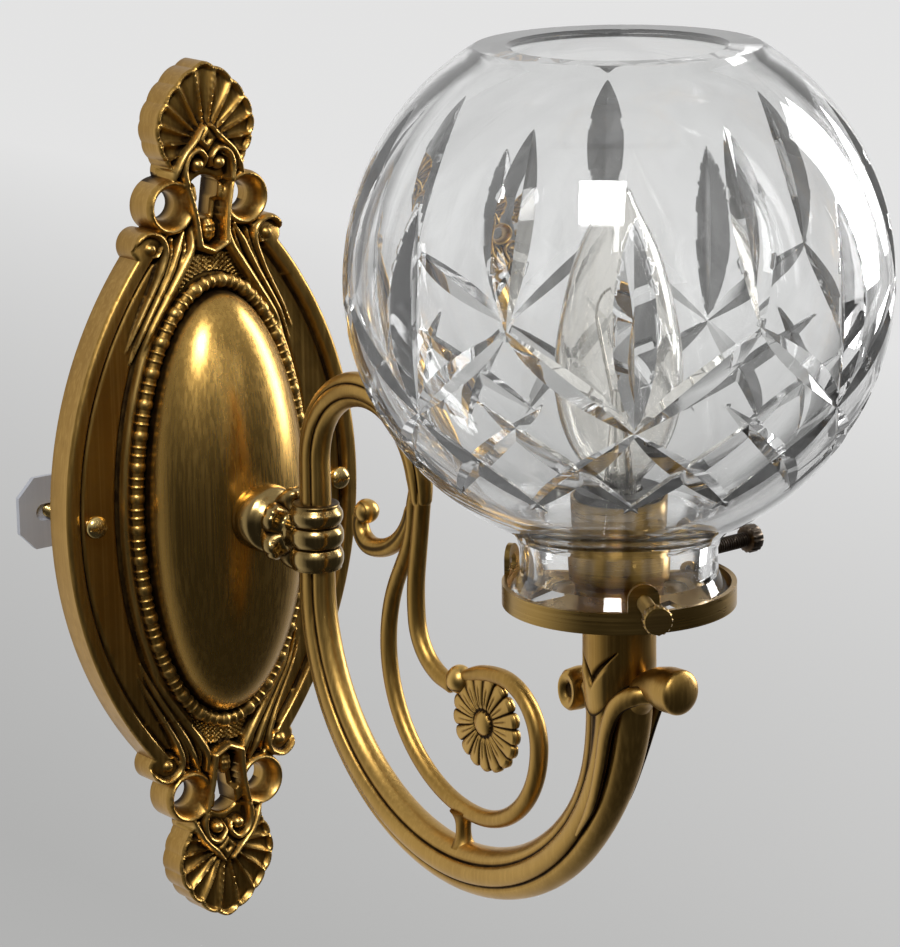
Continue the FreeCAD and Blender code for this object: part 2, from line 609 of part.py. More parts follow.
def make_hub(knuckle_blank):
    """Turned boss on the crown of the dome, with a notched collar hollowed to fit the knuckle."""
    foot, waist, collar = S.hub_foot_radius, S.hub_waist_radius, S.hub_collar_radius
    sink = S.dome_rise / 4
    boss_end = S.hub_boss_length + sink
    collar_start = boss_end + S.hub_waist_length
    collar_end = collar_start + S.hub_collar_length
    tip = S.knuckle_offset + CROWN + sink
    outline = [(0, 0), (foot, 0), (foot * 1.06, boss_end / 2), (foot * 0.94, boss_end * 0.8),
               (waist, boss_end), (waist, collar_start), (collar, collar_start + S.hub_collar_length * 0.35),
               (collar * 0.92, collar_end - S.hub_collar_length * 0.15), (S.knuckle_neck_radius, collar_end),
               (S.knuckle_neck_radius, tip), (0, tip)]
    blank = turned("hub_blank", outline, (0, CROWN + sink, 0), TO_ROOM)
    notches = []
    count = int(round(S.hub_collar_notches.value))
    for index in range(count):
        angle = 2 * math.pi * (index + 0.5) / count
        notches.append(cylinder("hub_notch_%d" % index, S.hub_notch_radius, S.hub_collar_length * 1.5,
                                (S.hub_collar_radius * math.cos(angle),
                                 HUB_END - S.hub_collar_length * 0.25,
                                 S.hub_collar_radius * math.sin(angle)), TO_WALL))
    dome_shape = ellipsoid("hub_seat", S.dome_half_width, S.dome_rise, S.dome_half_height, (0, BAND_FRONT, 0))
    thread = cylinder("hub_thread", S.nipple_radius, S.hub_boss_length + S.dome_rise,
                      (0, NIPPLE_FRONT, 0), TO_WALL)
    way = cylinder("hub_wire_way", S.nipple_bore, S.knuckle_offset,
                   (0, -S.knuckle_offset, 0), TO_WALL)
    return cut("hub", blank, dome_shape, thread, way, knuckle_blank, *notches)


def make_knuckle():
    """Three-ring collar that joins hub, lower arm and crook, bored for the wires; and its blank."""
    ring, neck, top = S.knuckle_radius, S.knuckle_neck_radius, S.knuckle_half_height * 2
    lip = S.knuckle_groove
    third = top / 3
    outline = [(0, 0), (neck, 0), (ring, lip)]
    for count in (1, 2):
        outline += [(ring, third * count - lip), (neck, third * count - lip / 2),
                    (neck, third * count + lip / 2), (ring, third * count + lip)]
    outline += [(ring, top - lip), (neck, top), (0, top)]
    blank = turned("knuckle_blank", outline, (0, -S.knuckle_offset, -S.knuckle_half_height))
    down = cylinder("knuckle_down", S.nipple_bore, S.knuckle_half_height + S.overrun,
                    (0, -S.knuckle_offset, -S.knuckle_half_height - S.overrun))
    back = cylinder("knuckle_back", S.nipple_bore, S.knuckle_offset,
                    (0, -S.knuckle_offset, 0), TO_WALL)
    corner = sphere("knuckle_corner", S.nipple_bore, (0, -S.knuckle_offset, 0))
    return cut("knuckle", blank, down, back, corner), blank


BEND_CENTRE = S.knuckle_offset + S.arm_radius
ARM_END = S.knuckle_offset + S.arm_radius * 2
CUP_FOOT = S.arm_up_leg - S.arm_drop
CUP_LENGTH = S.holder_base - CUP_FOOT


def lobed_bend(name, bend, half_thickness, lobe, offset, centre, turn, legs):
    """Half circle of three-lobed bar, with straight legs at both ends."""
    parts = []
    for tag, radius, shift in (("core", half_thickness, 0), ("inner", lobe, -offset), ("outer", lobe, offset)):
        part_bend = bend + shift
        parts.append(torus_part("%s_%s" % (name, tag), part_bend, radius, 180, centre, turn))
        for leg, (side, start, length) in enumerate(legs):
            parts.append(cylinder("%s_%s_leg_%d" % (name, tag, leg), radius, length,
                                  (0, centre[1] + part_bend * side, start)))
    return parts


def make_arm():
    """Hollow lower arm: three lobes side by side, bent down, out and up; and its bar before boring."""
    centre = (0, -BEND_CENTRE, -S.arm_drop)
    down_leg = S.arm_drop - S.knuckle_half_height
    legs = [(1, -S.arm_drop, down_leg), (-1, -S.arm_drop, S.arm_up_leg)]
    bar = fuse("arm_bar", *lobed_bend("arm", S.arm_radius, S.arm_half_thickness, S.arm_lobe_radius,
                                      S.arm_lobe_offset, centre, DOWN_BEND, legs))
    way = [torus_part("arm_way", S.arm_radius, S.arm_bore, 180, centre, DOWN_BEND)]
    for leg, (side, start, length) in enumerate(legs):
        way.append(cylinder("arm_way_leg_%d" % leg, S.arm_bore, length + S.overrun,
                            (0, -BEND_CENTRE + S.arm_radius * side, start)))
    return cut("arm_tube", bar, *way), bar


STEM_OFFSET = S.knuckle_offset + S.crook_radius * 2


def make_crook():
    """Solid upper crook: three lobes, bent over and ending in the stem of the scroll."""
    centre = (0, -S.knuckle_offset - S.crook_radius, S.crook_rise)
    legs = [(1, S.knuckle_half_height, S.crook_rise - S.knuckle_half_height)]
    parts = lobed_bend("crook", S.crook_radius, S.crook_half_thickness, S.crook_lobe_radius,
                       S.crook_lobe_offset, centre, UP_BEND, legs)
    path = Path(0, -(STEM_OFFSET + S.stem_shift).value, S.crook_rise.value, S.stem_lean.value - 90)
    path.run(S.stem_length.value).arc(S.stem_sweep_radius.value, -S.stem_sweep_angle.value)
    path.arc(S.stem_turn_radius.value, -S.stem_turn_angle.value).run(S.stem_end.value)
    stem = solid("crook_stem", path.tube(S.stem_radius.value))
    return fuse("arm_crook", *(parts + [stem]))


RING_FOOT = -S.arm_drop - S.arm_radius + S.arm_lobe_offset + S.arm_lobe_radius + S.post_length + S.strand_radius


def ring_path():
    """Centre line of the ring strand, drawn from its lowest point both ways."""
    back = Path(0, -S.ring_foot_offset.value, RING_FOOT.value, 0)
    back.arc(S.ring_belly_radius.value, 90).arc(S.ring_upper_radius.value, S.ring_upper_angle.value)
    back.run(S.ring_neck.value).arc(S.ring_back_radius.value, -S.ring_back_angle.value)
    back.run(S.ring_top.value)
    start = Path(0, back.point.y, back.point.z, math.degrees(back.heading) + 180)
    start.run(S.ring_top.value).arc(S.ring_back_radius.value, S.ring_back_angle.value)
    start.run(S.ring_neck.value).arc(S.ring_upper_radius.value, -S.ring_upper_angle.value)
    start.arc(S.ring_belly_radius.value, -90)
    start.arc(S.ring_heel_radius.value, -90)
    start.arc(S.ring_head_radius.value, -90)
    start.arc(S.ring_tip_radius.value, -S.ring_tip_angle.value)
    return start


def make_scroll(crook, arm):
    """Ring strand with its ball, the curl with its ball, the post, and the rosette."""
    path = ring_path()
    strand = solid("ring_strand", path.tube(S.strand_radius.value))
    tip = solid("ring_ball", Part.makeSphere(S.ball_radius.value, path.point))
    ring = cut("scroll_ring", fuse("ring_whole", strand, tip), crook)
    curl = Path(0, -S.curl_offset.value, S.curl_top.value, -S.curl_sweep_angle.value)
    curl.arc(S.curl_sweep_radius.value, S.curl_sweep_angle.value).arc(S.curl_turn_radius.value, 90)
    curl.arc(S.curl_end_radius.value, 70)
    bar = solid("curl_strand", curl.tube(S.strand_radius.value))
    ball = centred_cylinder("curl_ball", S.curl_ball_radius, S.strand_radius * 1.15,
                            curl.centre.y, curl.centre.z)
    curled = cut("scroll_curl", fuse("curl_whole", bar, ball), crook, ring)
    post_foot = RING_FOOT - S.strand_radius - S.post_length - S.arm_lobe_radius / 2
    post_bar = cylinder("post_bar", S.post_radius, RING_FOOT - S.strand_radius / 2 - post_foot,
                        (0, -BEND_CENTRE, post_foot))
    post = cut("scroll_post", post_bar, arm, ring)
    disc = centred_disc("rosette_disc", S.rosette_radius, S.rosette_half_thickness)
    boss = centred_disc("rosette_boss", S.rosette_boss_radius, S.rosette_half_thickness + S.rosette_boss_rise)
    rosette = cut("rosette", fuse("rosette_whole", disc, boss), ring, crook)
    return [ring, curled, post, rosette]


def centred_cylinder(name, radius, half_length, y, z):
    """A short cylinder across the arm's plane, centred on it."""
    made = doc.addObject("Part::Cylinder", name)
    bind(made, Radius=radius, Height=half_length * 2)
    made.Placement = FreeCAD.Placement(Vector(0, y, z), SIDEWAYS)
    made.setExpression("Placement.Base.x", (-half_length).text)
    return made


def centred_disc(name, radius, half_thickness):
    """A disc of the rosette, centred on the arm's plane."""
    return cylinder(name, radius, half_thickness * 2,
                    (-half_thickness, -S.rosette_offset, -S.rosette_drop), SIDEWAYS)


def make_leaf_cup(arm_bar):
    """Sleeve at the end of the arm, with a rolled leaf on each side of it."""
    outline = [(0, 0), (S.cup_waist_radius, 0), (S.cup_radius, S.leaf_rise + S.leaf_curl_radius),
               (S.cup_radius, CUP_LENGTH), (0, CUP_LENGTH)]
    blank = turned("cup_blank", outline, (0, -ARM_END, CUP_FOOT))
    parts = [blank]
    for tag, reach in (("outer", -S.leaf_reach_outer), ("inner", S.leaf_reach_inner)):
        spot = (-S.leaf_half_width, -ARM_END + reach, CUP_FOOT + S.leaf_rise)
        parts.append(cylinder("leaf_curl_" + tag, S.leaf_curl_radius, S.leaf_half_width * 2, spot, SIDEWAYS))
    parts.append(box("leaf_web", (-S.leaf_half_width * 0.8, -ARM_END - S.leaf_reach_outer, CUP_FOOT),
                     (S.leaf_half_width * 1.6, S.leaf_reach_outer + S.leaf_reach_inner, S.leaf_web)))
    bore = cylinder("cup_bore", S.cup_bore_radius, CUP_LENGTH,
                    (0, -ARM_END, CUP_FOOT + CUP_LENGTH - S.end_nipple_grip))
    way = cylinder("cup_way", S.arm_bore, CUP_LENGTH, (0, -ARM_END, CUP_FOOT - S.overrun))
    return cut("leaf_cup", fuse("cup_whole", *parts), bore, way, arm_bar)


HOLDER_TOP = S.holder_base + S.holder_rim_height
FLOOR_TOP = S.holder_base + S.holder_floor
THUMB_AXIS = HOLDER_TOP + S.thumb_axis_rise
TAB_STEP = 120


def tab_angle(index):
    return S.first_tab_angle + TAB_STEP * index


def about_globe_axis(thing, angle):
    """Turn a finished tool about the upright axis of the lamp."""
    made = doc.addObject("Part::Compound", thing.Name + "_turned")
    made.Links = [thing]
    made.Placement = FreeCAD.Placement(Vector(), FreeCAD.Rotation(Vector(0, 0, 1), 1))
    made.setExpression("Placement.Rotation.Angle", size(angle).text)
    made.setExpression("Placement.Base.y", (-ARM_END).text)
    return made


def make_holder():
    """Pressed ring with a floor, three screw tabs and three windows in the floor."""
    outer, inner = S.holder_radius, S.holder_radius - S.holder_wall
    base = S.holder_base
    outline = [(S.nipple_radius + S.nipple_play, 0), (outer, 0), (outer, S.holder_rim_height),
               (inner, S.holder_rim_height), (inner, S.holder_floor),
               (S.nipple_radius + S.nipple_play, S.holder_floor)]
    dish = turned("holder_dish", outline, (0, -ARM_END, base))
    wall_height = S.holder_rim_height + S.tab_height + S.overrun
    wall = [(inner, S.holder_floor), (outer, S.holder_floor), (outer, wall_height), (inner, wall_height)]
    wall_ring = turned("holder_wall_ring", wall, (0, -ARM_END, base))
    half = S.tab_width / 2
    tab_round = HOLDER_TOP + S.tab_height - half
    tabs, holes = [], []
    for index in range(3):
        post = box("tab_post_%d" % index, (0, -half, base), (outer * 2, S.tab_width, tab_round - base))
        cap = cylinder("tab_cap_%d" % index, half, outer * 2, (0, 0, tab_round), SIDEWAYS)
        tabs.append(about_globe_axis(fuse("tab_form_%d" % index, post, cap), tab_angle(index)))
        hole = cylinder("tab_hole_%d" % index, S.thumb_shank_radius + S.thumb_play, outer * 2,
                        (0, 0, THUMB_AXIS), SIDEWAYS)
        holes.append(about_globe_axis(hole, tab_angle(index)))
        window = box("window_%d" % index, (S.window_inner, -S.window_width / 2, base - S.overrun),
                     (S.window_length, S.window_width, S.holder_floor + S.overrun * 2))
        holes.append(about_globe_axis(window, tab_angle(index) + TAB_STEP / 4))
    tab_ring = common("holder_tabs", wall_ring, fuse("tab_forms", *tabs))
    return cut("holder", fuse("holder_whole", dish, tab_ring), *holes)


def make_thumb_screws():
    """Two like knurled screws in two of the tabs: one tightened, the other backed out."""
    shank, head = S.thumb_shank_radius, S.thumb_head_radius
    neck = S.thumb_shank_length
    end = neck + S.thumb_head_length
    outline = [(0, 0), (shank * 0.75, 0), (shank, shank * 0.25), (shank, neck),
               (head * 0.9, neck), (head, neck + S.thumb_head_length * 0.15),
               (head, end - S.thumb_head_length * 0.15), (head * 0.9, end), (0, end)]
    screws = []
    for index, (letter, tip) in enumerate((("a", S.thumb_tip_a), ("b", S.thumb_tip_b))):
        blank = turned("thumb_blank_" + letter, outline, (tip, 0, THUMB_AXIS), SIDEWAYS)
        made = about_globe_axis(blank, tab_angle(index))
        made.Label = "thumb_screw_" + letter
        screws.append(made)
    return screws


NUT_BASE = FLOOR_TOP + S.socket_cup_wall
PIPE_TOP = NUT_BASE + S.end_nut_thickness + S.end_nipple_tail
INSULATOR_BASE = PIPE_TOP + S.insulator_lift
CUP_TOP = FLOOR_TOP + S.socket_cup_height


def make_socket():
    """End pipe and nut, brass cup, insulator, screw shell and centre contact."""
    bore, pipe = S.nipple_bore, S.nipple_radius
    length = PIPE_TOP - S.holder_base + S.end_nipple_grip
    tube = [(bore, 0), (pipe, 0), (pipe, length), (bore, length)]
    nipple = turned("end_nipple", tube, (0, -ARM_END, PIPE_TOP - length))
    block = prism_polygon("end_nut_block", 6, S.nut_across_flats / math.sqrt(3), S.end_nut_thickness,
                          (0, -ARM_END, NUT_BASE))
    hole = cylinder("end_nut_hole", S.nipple_radius, S.end_nut_thickness + S.overrun * 2,
                    (0, -ARM_END, NUT_BASE - S.overrun))
    nut = cut("end_nut", block, hole)
    wall, foot, wide = S.socket_cup_wall, S.socket_cup_foot_radius, S.socket_cup_radius
    step, top = S.socket_foot_height, S.socket_cup_height
    skin = [(pipe + S.nipple_play, 0), (foot, 0), (foot, step), (wide, step + wall * 2), (wide, top),
            (wide - wall, top), (wide - wall, step + wall * 2), (foot - wall, step + wall),
            (foot - wall, wall), (pipe + S.nipple_play, wall)]
    cup = turned("socket_cup", skin, (0, -ARM_END, FLOOR_TOP))
    outer, floor = S.insulator_radius, S.insulator_floor
    shell_outer = S.lamp_cap_radius + S.lamp_cap_play + S.shell_wall
    height = CUP_TOP + S.insulator_proud - INSULATOR_BASE
    low = S.socket_cup_foot_radius - S.socket_cup_wall - S.nipple_play
    shoulder = FLOOR_TOP + step + wall * 2 - INSULATOR_BASE
    body = [(S.contact_radius / 2, 0), (low, 0), (low, shoulder), (outer, shoulder + wall), (outer, height),
            (shell_outer, height), (shell_outer, floor), (S.contact_radius / 2, floor)]
    insulator = turned("socket_insulator", body, (0, -ARM_END, INSULATOR_BASE))
    shell_inner = S.lamp_cap_radius + S.lamp_cap_play
    lift = S.insulator_proud / 2
    thimble = [(S.contact_radius * 1.6, 0), (shell_outer, 0), (shell_outer, height - floor - lift),
               (shell_inner, height - floor - lift), (shell_inner, S.shell_wall),
               (S.contact_radius * 1.6, S.shell_wall)]
    shell = turned("socket_shell", thimble, (0, -ARM_END, INSULATOR_BASE + floor))
    button = [(0, 0), (S.contact_radius, 0), (S.contact_radius, S.contact_height * 0.7),
              (S.contact_radius * 0.6, S.contact_height), (0, S.contact_height)]
    contact = turned("socket_contact", button, (0, -ARM_END, INSULATOR_BASE + floor))
    return [nipple, nut, cup, insulator, shell, contact]


LAMP_BASE = INSULATOR_BASE + S.insulator_floor + S.contact_height + S.lamp_contact_gap
CAP_BASE = LAMP_BASE + S.lamp_tip_height
GLASS_BASE = CAP_BASE + S.lamp_cap_length

# Torpedo outline of the lamp: shares of the largest radius and of the glass length, foot to top.
LAMP_RADIUS_SHARES = (0.34, 0.46, 0.80, 0.98, 0.97, 0.80, 0.52, 0.24)
LAMP_HEIGHT_SHARES = (0.00, 0.05, 0.16, 0.32, 0.46, 0.66, 0.84, 0.96)


def lamp_outline(wall):
    """Spline of the glass from its foot to the axis, moved in by wall."""
    points = [Vector(S.lamp_radius.value * radius - wall, 0, S.lamp_length.value * height)
              for radius, height in zip(LAMP_RADIUS_SHARES, LAMP_HEIGHT_SHARES)]
    points.append(Vector(0, 0, S.lamp_length.value - wall))
    curve = Part.BSplineCurve()
    curve.interpolate(points, InitialTangent=Vector(0, 0, 1), FinalTangent=Vector(-1, 0, 0))
    return curve.toShape(), points


def make_lamp():
    """Cap, insulated tip, glass, glass mount and filament of the candle lamp."""
    radius, length = S.lamp_cap_radius, S.lamp_cap_length
    cap_wall = S.lamp_cap_play * 5
    cap_profile = [(S.lamp_tip_radius, 0), (radius, length * 0.12), (radius, length),
                   (radius - cap_wall, length), (radius - cap_wall, length * 0.12 + cap_wall),
                   (S.lamp_tip_radius, cap_wall)]
    cap = turned("lamp_cap", cap_profile, (0, -ARM_END, CAP_BASE))
    tip_profile = [(0, 0), (S.lamp_tip_radius * 0.7, 0), (S.lamp_tip_radius, S.lamp_tip_height * 0.5),
                   (S.lamp_tip_radius, S.lamp_tip_height + cap_wall), (0, S.lamp_tip_height + cap_wall)]
    tip = turned("lamp_tip", tip_profile, (0, -ARM_END, LAMP_BASE))
    outer, outer_points = lamp_outline(0)
    inner, inner_points = lamp_outline(S.lamp_wall.value)
    top = Part.LineSegment(outer_points[-1], inner_points[-1]).toShape()
    foot = Part.LineSegment(inner_points[0], outer_points[0]).toShape()
    face = Part.Face(Part.Wire([outer, top, inner, foot]))
    glass = solid("lamp_glass", face.revolve(Vector(), Vector(0, 0, 1), 360))
    place(glass, (0, -ARM_END, GLASS_BASE))
    base = -S.lamp_cap_length * 0.3
    stem_profile = [(0, base), (radius - cap_wall, base), (radius - cap_wall, 0), (S.stem_foot_radius, 0),
                    (S.stem_tip_radius, S.stem_height), (0, S.stem_height)]
    stem = make_stem(stem_profile)
    start = S.stem_height * 0.8
    reach = S.filament_radius
    rise = S.stem_height * 0.9
    supports = []
    for side in (-1, 1):
        low = Vector(0, side * S.stem_tip_radius.value, start.value)
        high = Vector(0, side * reach.value, (start + rise).value)
        axis = high - low
        supports.append(Part.makeCylinder(S.support_wire.value, axis.Length, low, axis))
    loop = Path(0, -reach.value, (start + rise).value, 90)
    loop.arc(reach.value, -180)
    hoop = loop.tube(S.filament_wire.value)
    whole = hoop.fuse(supports)
    filament = solid("lamp_filament", whole)
    place(filament, (0, -ARM_END, GLASS_BASE))
    trimmed = cut("lamp_wires", filament, stem)
    return [cap, tip, glass, stem, trimmed]


def make_stem(outline):
    """Glass mount of the filament, from inside the cap up into the lamp."""
    lowest = outline[0][1]
    raised = [(radius, size(height) - lowest) for radius, height in outline]
    return turned("lamp_mount", raised, (0, -ARM_END, GLASS_BASE + lowest))


def make_globe():
    """Thick crystal globe: cut flat at the mouth, with a waist and a flared lip."""
    radius, wall = S.globe_radius.value, S.globe_wall.value
    base = S.globe_seat.value
    centre = (S.globe_foot_rise + S.globe_radius).value
    mouth = centre + math.sqrt(radius ** 2 - S.globe_mouth_radius.value ** 2)
    inner_radius = radius - wall
    mouth_inner = math.sqrt(inner_radius ** 2 - (mouth - centre) ** 2)
    waist, lip = S.globe_waist_radius.value, S.globe_lip_radius.value
    neck_bore = waist - S.globe_neck_wall.value
    lip_top = base + S.globe_lip_height.value
    waist_low = lip_top + S.globe_flare_height.value
    waist_high = waist_low + S.globe_waist_height.value
    shoulder_radius = waist + wall
    shoulder = centre - math.sqrt(radius ** 2 - shoulder_radius ** 2)
    bore_top = centre - math.sqrt(inner_radius ** 2 - neck_bore ** 2)
    lip_bore = neck_bore + wall / 2

    def at(r, z):
        return Vector(r, 0, z)

    def sphere_arc(size_of, low, high):
        middle = at(size_of, centre)
        return Part.Arc(low, middle, high).toShape()

    outer_low, outer_high = at(shoulder_radius, shoulder), at(S.globe_mouth_radius.value, mouth)
    inner_low, inner_high = at(neck_bore, bore_top), at(mouth_inner, mouth)
    fillet = Part.BezierCurve()
    fillet.setPoles([at(waist, waist_high), at(waist, (waist_high + shoulder) / 2), outer_low])
    lines = [(at(lip_bore, base), at(lip, base)), (at(lip, base), at(lip, lip_top)),
             (at(lip, lip_top), at(waist, waist_low)), (at(waist, waist_low), at(waist, waist_high))]
    edges = [Part.LineSegment(a, b).toShape() for a, b in lines]
    edges.append(fillet.toShape())
    edges.append(sphere_arc(radius, outer_low, outer_high))
    edges.append(Part.LineSegment(outer_high, inner_high).toShape())
    edges.append(sphere_arc(inner_radius, inner_low, inner_high))
    edges.append(Part.LineSegment(inner_low, at(neck_bore, waist_low)).toShape())
    edges.append(Part.LineSegment(at(neck_bore, waist_low), at(lip_bore, base)).toShape())
    face = Part.Face(Part.Wire(Part.__sortEdges__(edges)))
    globe = solid("glass_globe", face.revolve(Vector(), Vector(0, 0, 1), 360))
    return place(globe, (0, -ARM_END, FLOOR_TOP))


def wire_route(across):
    """Route of one wire: behind the pipe, through the hub, down, round the arm and up."""
    back = NIPPLE_BACK.value + S.wire_outlet.value
    turn = S.wire_turn_radius.value
    path = Path(across, back, 0, 180)
    path.run(back + S.knuckle_offset.value - turn)
    path.arc(turn, 90)
    path.run(S.arm_drop.value - turn)
    path.arc(S.arm_radius.value, -180)
    path.run((INSULATOR_BASE + S.arm_drop).value)
    return path


def make_wires():
    """Two insulated wires from the back of the plate to the lamp socket, and their connectors."""
    wires, caps = [], []
    for name, side in (("wire_live", 1), ("wire_neutral", -1)):
        across = side * S.wire_half_spacing.value
        route = wire_route(across)
        start = Vector(across, NIPPLE_BACK.value + S.wire_outlet.value, 0)
        bend = S.wire_back_turn.value
        middle = start + Vector(side * bend * (1 - math.cos(math.pi / 4)), bend * math.sin(math.pi / 4), 0)
        corner = start + Vector(side * bend, bend, 0)
        tail = corner + Vector(side * S.wire_tail.value, 0, 0)
        edges = [Part.LineSegment(tail, corner).toShape(), Part.Arc(corner, middle, start).toShape()]
        wire = Part.Wire(edges + route.edges)
        section = Part.Wire([Part.makeCircle(S.wire_radius.value, tail, Vector(1, 0, 0))])
        wires.append(solid(name, wire.makePipeShell([section], True, False)))
        caps.append(Part.makeCylinder(S.connector_radius.value, S.connector_length.value, tail,
                                      Vector(side, 0, 0)))
    return wires + [solid("wire_connectors", Part.makeCompound(caps))]


def slot_tool(name, half_length, half_width, across):
    """A round-ended slot through the crossbar, centred at X = across."""
    deep = S.bar_thickness + S.overrun * 2
    front = S.bar_gap - S.overrun
    run = half_length - half_width
    parts = [centred_box(name + "_run", (across, front + deep / 2, 0), (run, deep / 2, half_width))]
    for tag, side in (("left", -1), ("right", 1)):
        parts.append(cylinder("%s_%s" % (name, tag), half_width, deep, (across + run * side, front, 0), TO_WALL))
    return fuse(name, *parts)


def make_crossbar():
    """Flat steel bar with cut corners, a tapped middle, slots for its screws, and a ground hole."""
    blank = centred_box("bar_blank", (0, S.bar_gap + S.bar_thickness / 2, 0),
                        (S.bar_half_length, S.bar_thickness / 2, S.bar_half_width))
    chamfered = doc.addObject("Part::Chamfer", "bar_chamfered")
    chamfered.Base = blank
    doc.recompute()
    corner = S.bar_corner.value
    upright = [index for index, edge in enumerate(blank.Shape.Edges, start=1)
               if abs(edge.tangentAt(edge.FirstParameter).y) > 0.99]
    chamfered.Edges = [(index, corner, corner) for index in upright]
    half_box = S.box_screw_spacing / 2
    tools = []
    for tag, side in (("left", -1), ("right", 1)):
        tools.append(slot_tool("screw_slot_" + tag, S.slot_half_length, S.slot_half_width, HALF_SCREWS * side))
    tools.append(slot_tool("box_slot_left", S.box_slot_half_length, S.box_slot_half_width, -half_box))
    tools.append(slot_tool("box_slot_right", S.box_slot_half_length, S.box_slot_half_width, half_box))
    tools.append(cylinder("bar_centre", S.bar_centre_radius, S.bar_thickness + S.overrun * 2,
                          (0, S.bar_gap - S.overrun, 0), TO_WALL))
    tools.append(cylinder("bar_ground", S.screw_radius, S.bar_thickness + S.overrun * 2,
                          (-S.ground_offset, S.bar_gap - S.overrun, 0), TO_WALL))
    return cut("crossbar", chamfered, *tools)


def make_plate_screws():
    """Two long brass screws through the plate and the crossbar's slots, and their nuts."""
    screws, nuts = [], []
    under_head = PANEL_FRONT - S.screw_head_gap
    head, rise, thread = S.screw_head_radius, S.screw_head_height, S.screw_radius
    outline = [(0, 0), (thread, 0), (thread, S.screw_length), (head, S.screw_length),
               (head, S.screw_length + rise * 0.45), (head * 0.72, S.screw_length + rise * 0.85),
               (0, S.screw_length + rise)]
    for tag, side in (("left", -1), ("right", 1)):
        blank = turned("plate_screw_blank_" + tag, outline,
                       (HALF_SCREWS * side, under_head + S.screw_length, 0), TO_ROOM)
        top = under_head - rise
        slot = centred_box("plate_screw_slot_" + tag, (HALF_SCREWS * side, top + S.screw_slot_depth / 2, 0),
                           (head * 1.2, S.screw_slot_depth / 2, S.screw_slot_width / 2))
        screws.append(cut("plate_screw_" + tag, blank, slot))
        block = prism_polygon("bar_nut_block_" + tag, 6, S.clip_nut_across_flats / math.sqrt(3),
                              S.clip_nut_thickness,
                              (HALF_SCREWS * side, S.bar_gap + S.bar_thickness, 0), TO_WALL)
        hole = cylinder("bar_nut_hole_" + tag, S.screw_radius, S.clip_nut_thickness + S.overrun * 2,
                        (HALF_SCREWS * side, S.bar_gap + S.bar_thickness - S.overrun, 0), TO_WALL)
        nuts.append(cut("bar_nut_" + tag, block, hole))
    pair = doc.addObject("Part::Compound", "plate_screws")
    pair.Links = screws
    nut_pair = doc.addObject("Part::Compound", "bar_nuts")
    nut_pair.Links = nuts
    return [pair, nut_pair]


def make_ground_screw():
    """Grounding screw in the crossbar, its head on the front."""
    head, rise, thread = S.ground_head_radius, S.ground_head_height, S.screw_radius
    outline = [(0, 0), (thread, 0), (thread, S.ground_screw_length), (head, S.ground_screw_length),
               (head, S.ground_screw_length + rise * 0.6), (head * 0.8, S.ground_screw_length + rise),
               (0, S.ground_screw_length + rise)]
    blank = turned("ground_blank", outline, (-S.ground_offset, S.bar_gap + S.ground_screw_length, 0), TO_ROOM)
    slot = centred_box("ground_slot", (-S.ground_offset, S.bar_gap - rise + S.screw_slot_depth / 2, 0),
                       (head * 1.2, S.screw_slot_depth / 2, S.screw_slot_width / 2))
    return cut("ground_screw", blank, slot)


pieces = [make_backplate(), make_bead_ring(), make_dome()]
pieces += make_clamp()
knuckle, knuckle_blank = make_knuckle()
pieces += [make_hub(knuckle_blank), knuckle]
arm_tube, arm_bar = make_arm()
arm_crook = make_crook()
pieces += [arm_tube, arm_crook]
pieces += make_scroll(arm_crook, arm_tube)
pieces += [make_leaf_cup(arm_bar), make_holder()]
pieces += make_thumb_screws()
pieces += make_socket()
pieces += make_lamp()
pieces += [make_globe()]
pieces += make_wires()
pieces += [make_crossbar()]
pieces += make_plate_screws()
pieces += [make_ground_screw()]
doc.recompute()

failed = [item.Name for item in doc.Objects if "Invalid" in item.State or "Error" in item.State]
if failed:
    raise RuntimeError("failed: " + ", ".join(failed))
os.makedirs("parts", exist_ok=True)
for piece in pieces:
    if piece.Shape.isNull() or not piece.Shape.isValid() or not piece.Shape.Solids:
        raise RuntimeError("%s has no valid solid" % piece.Label)
for piece in pieces:
    piece.Shape.exportStep("parts/%s.step" % piece.Label)
    print("%-18s solids %d volume %.0f mm3" % (piece.Label, len(piece.Shape.Solids), piece.Shape.Volume))
print("nodes", len(pieces))
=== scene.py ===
"""Wall sconce of antique brass with a cut crystal globe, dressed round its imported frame."""
import math

import bmesh
import bpy
import numpy as np
from mathutils import Matrix, Vector


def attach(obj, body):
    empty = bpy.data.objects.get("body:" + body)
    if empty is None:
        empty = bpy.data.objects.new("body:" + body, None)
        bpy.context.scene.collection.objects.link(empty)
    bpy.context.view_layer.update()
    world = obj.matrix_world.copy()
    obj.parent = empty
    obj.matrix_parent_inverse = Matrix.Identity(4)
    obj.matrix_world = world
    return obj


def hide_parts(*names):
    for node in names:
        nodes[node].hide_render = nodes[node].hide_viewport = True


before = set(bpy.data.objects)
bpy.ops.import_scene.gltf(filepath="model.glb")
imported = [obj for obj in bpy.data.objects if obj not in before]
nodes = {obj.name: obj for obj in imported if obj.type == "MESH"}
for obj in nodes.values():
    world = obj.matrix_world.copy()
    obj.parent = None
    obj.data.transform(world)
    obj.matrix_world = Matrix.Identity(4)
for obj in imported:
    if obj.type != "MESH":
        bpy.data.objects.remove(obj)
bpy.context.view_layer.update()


# Camera: stands left of the sconce, a little above it, and looks down at it.
CAMERA_PLACE = (-0.62416, -0.93125, 0.29464)
CAMERA_YAW, CAMERA_PITCH, CAMERA_ROLL = 0.65878, -0.25295, -0.01381
CAMERA_LENS = 144.47
ahead = Vector((math.sin(CAMERA_YAW) * math.cos(CAMERA_PITCH),
                math.cos(CAMERA_YAW) * math.cos(CAMERA_PITCH), math.sin(CAMERA_PITCH)))
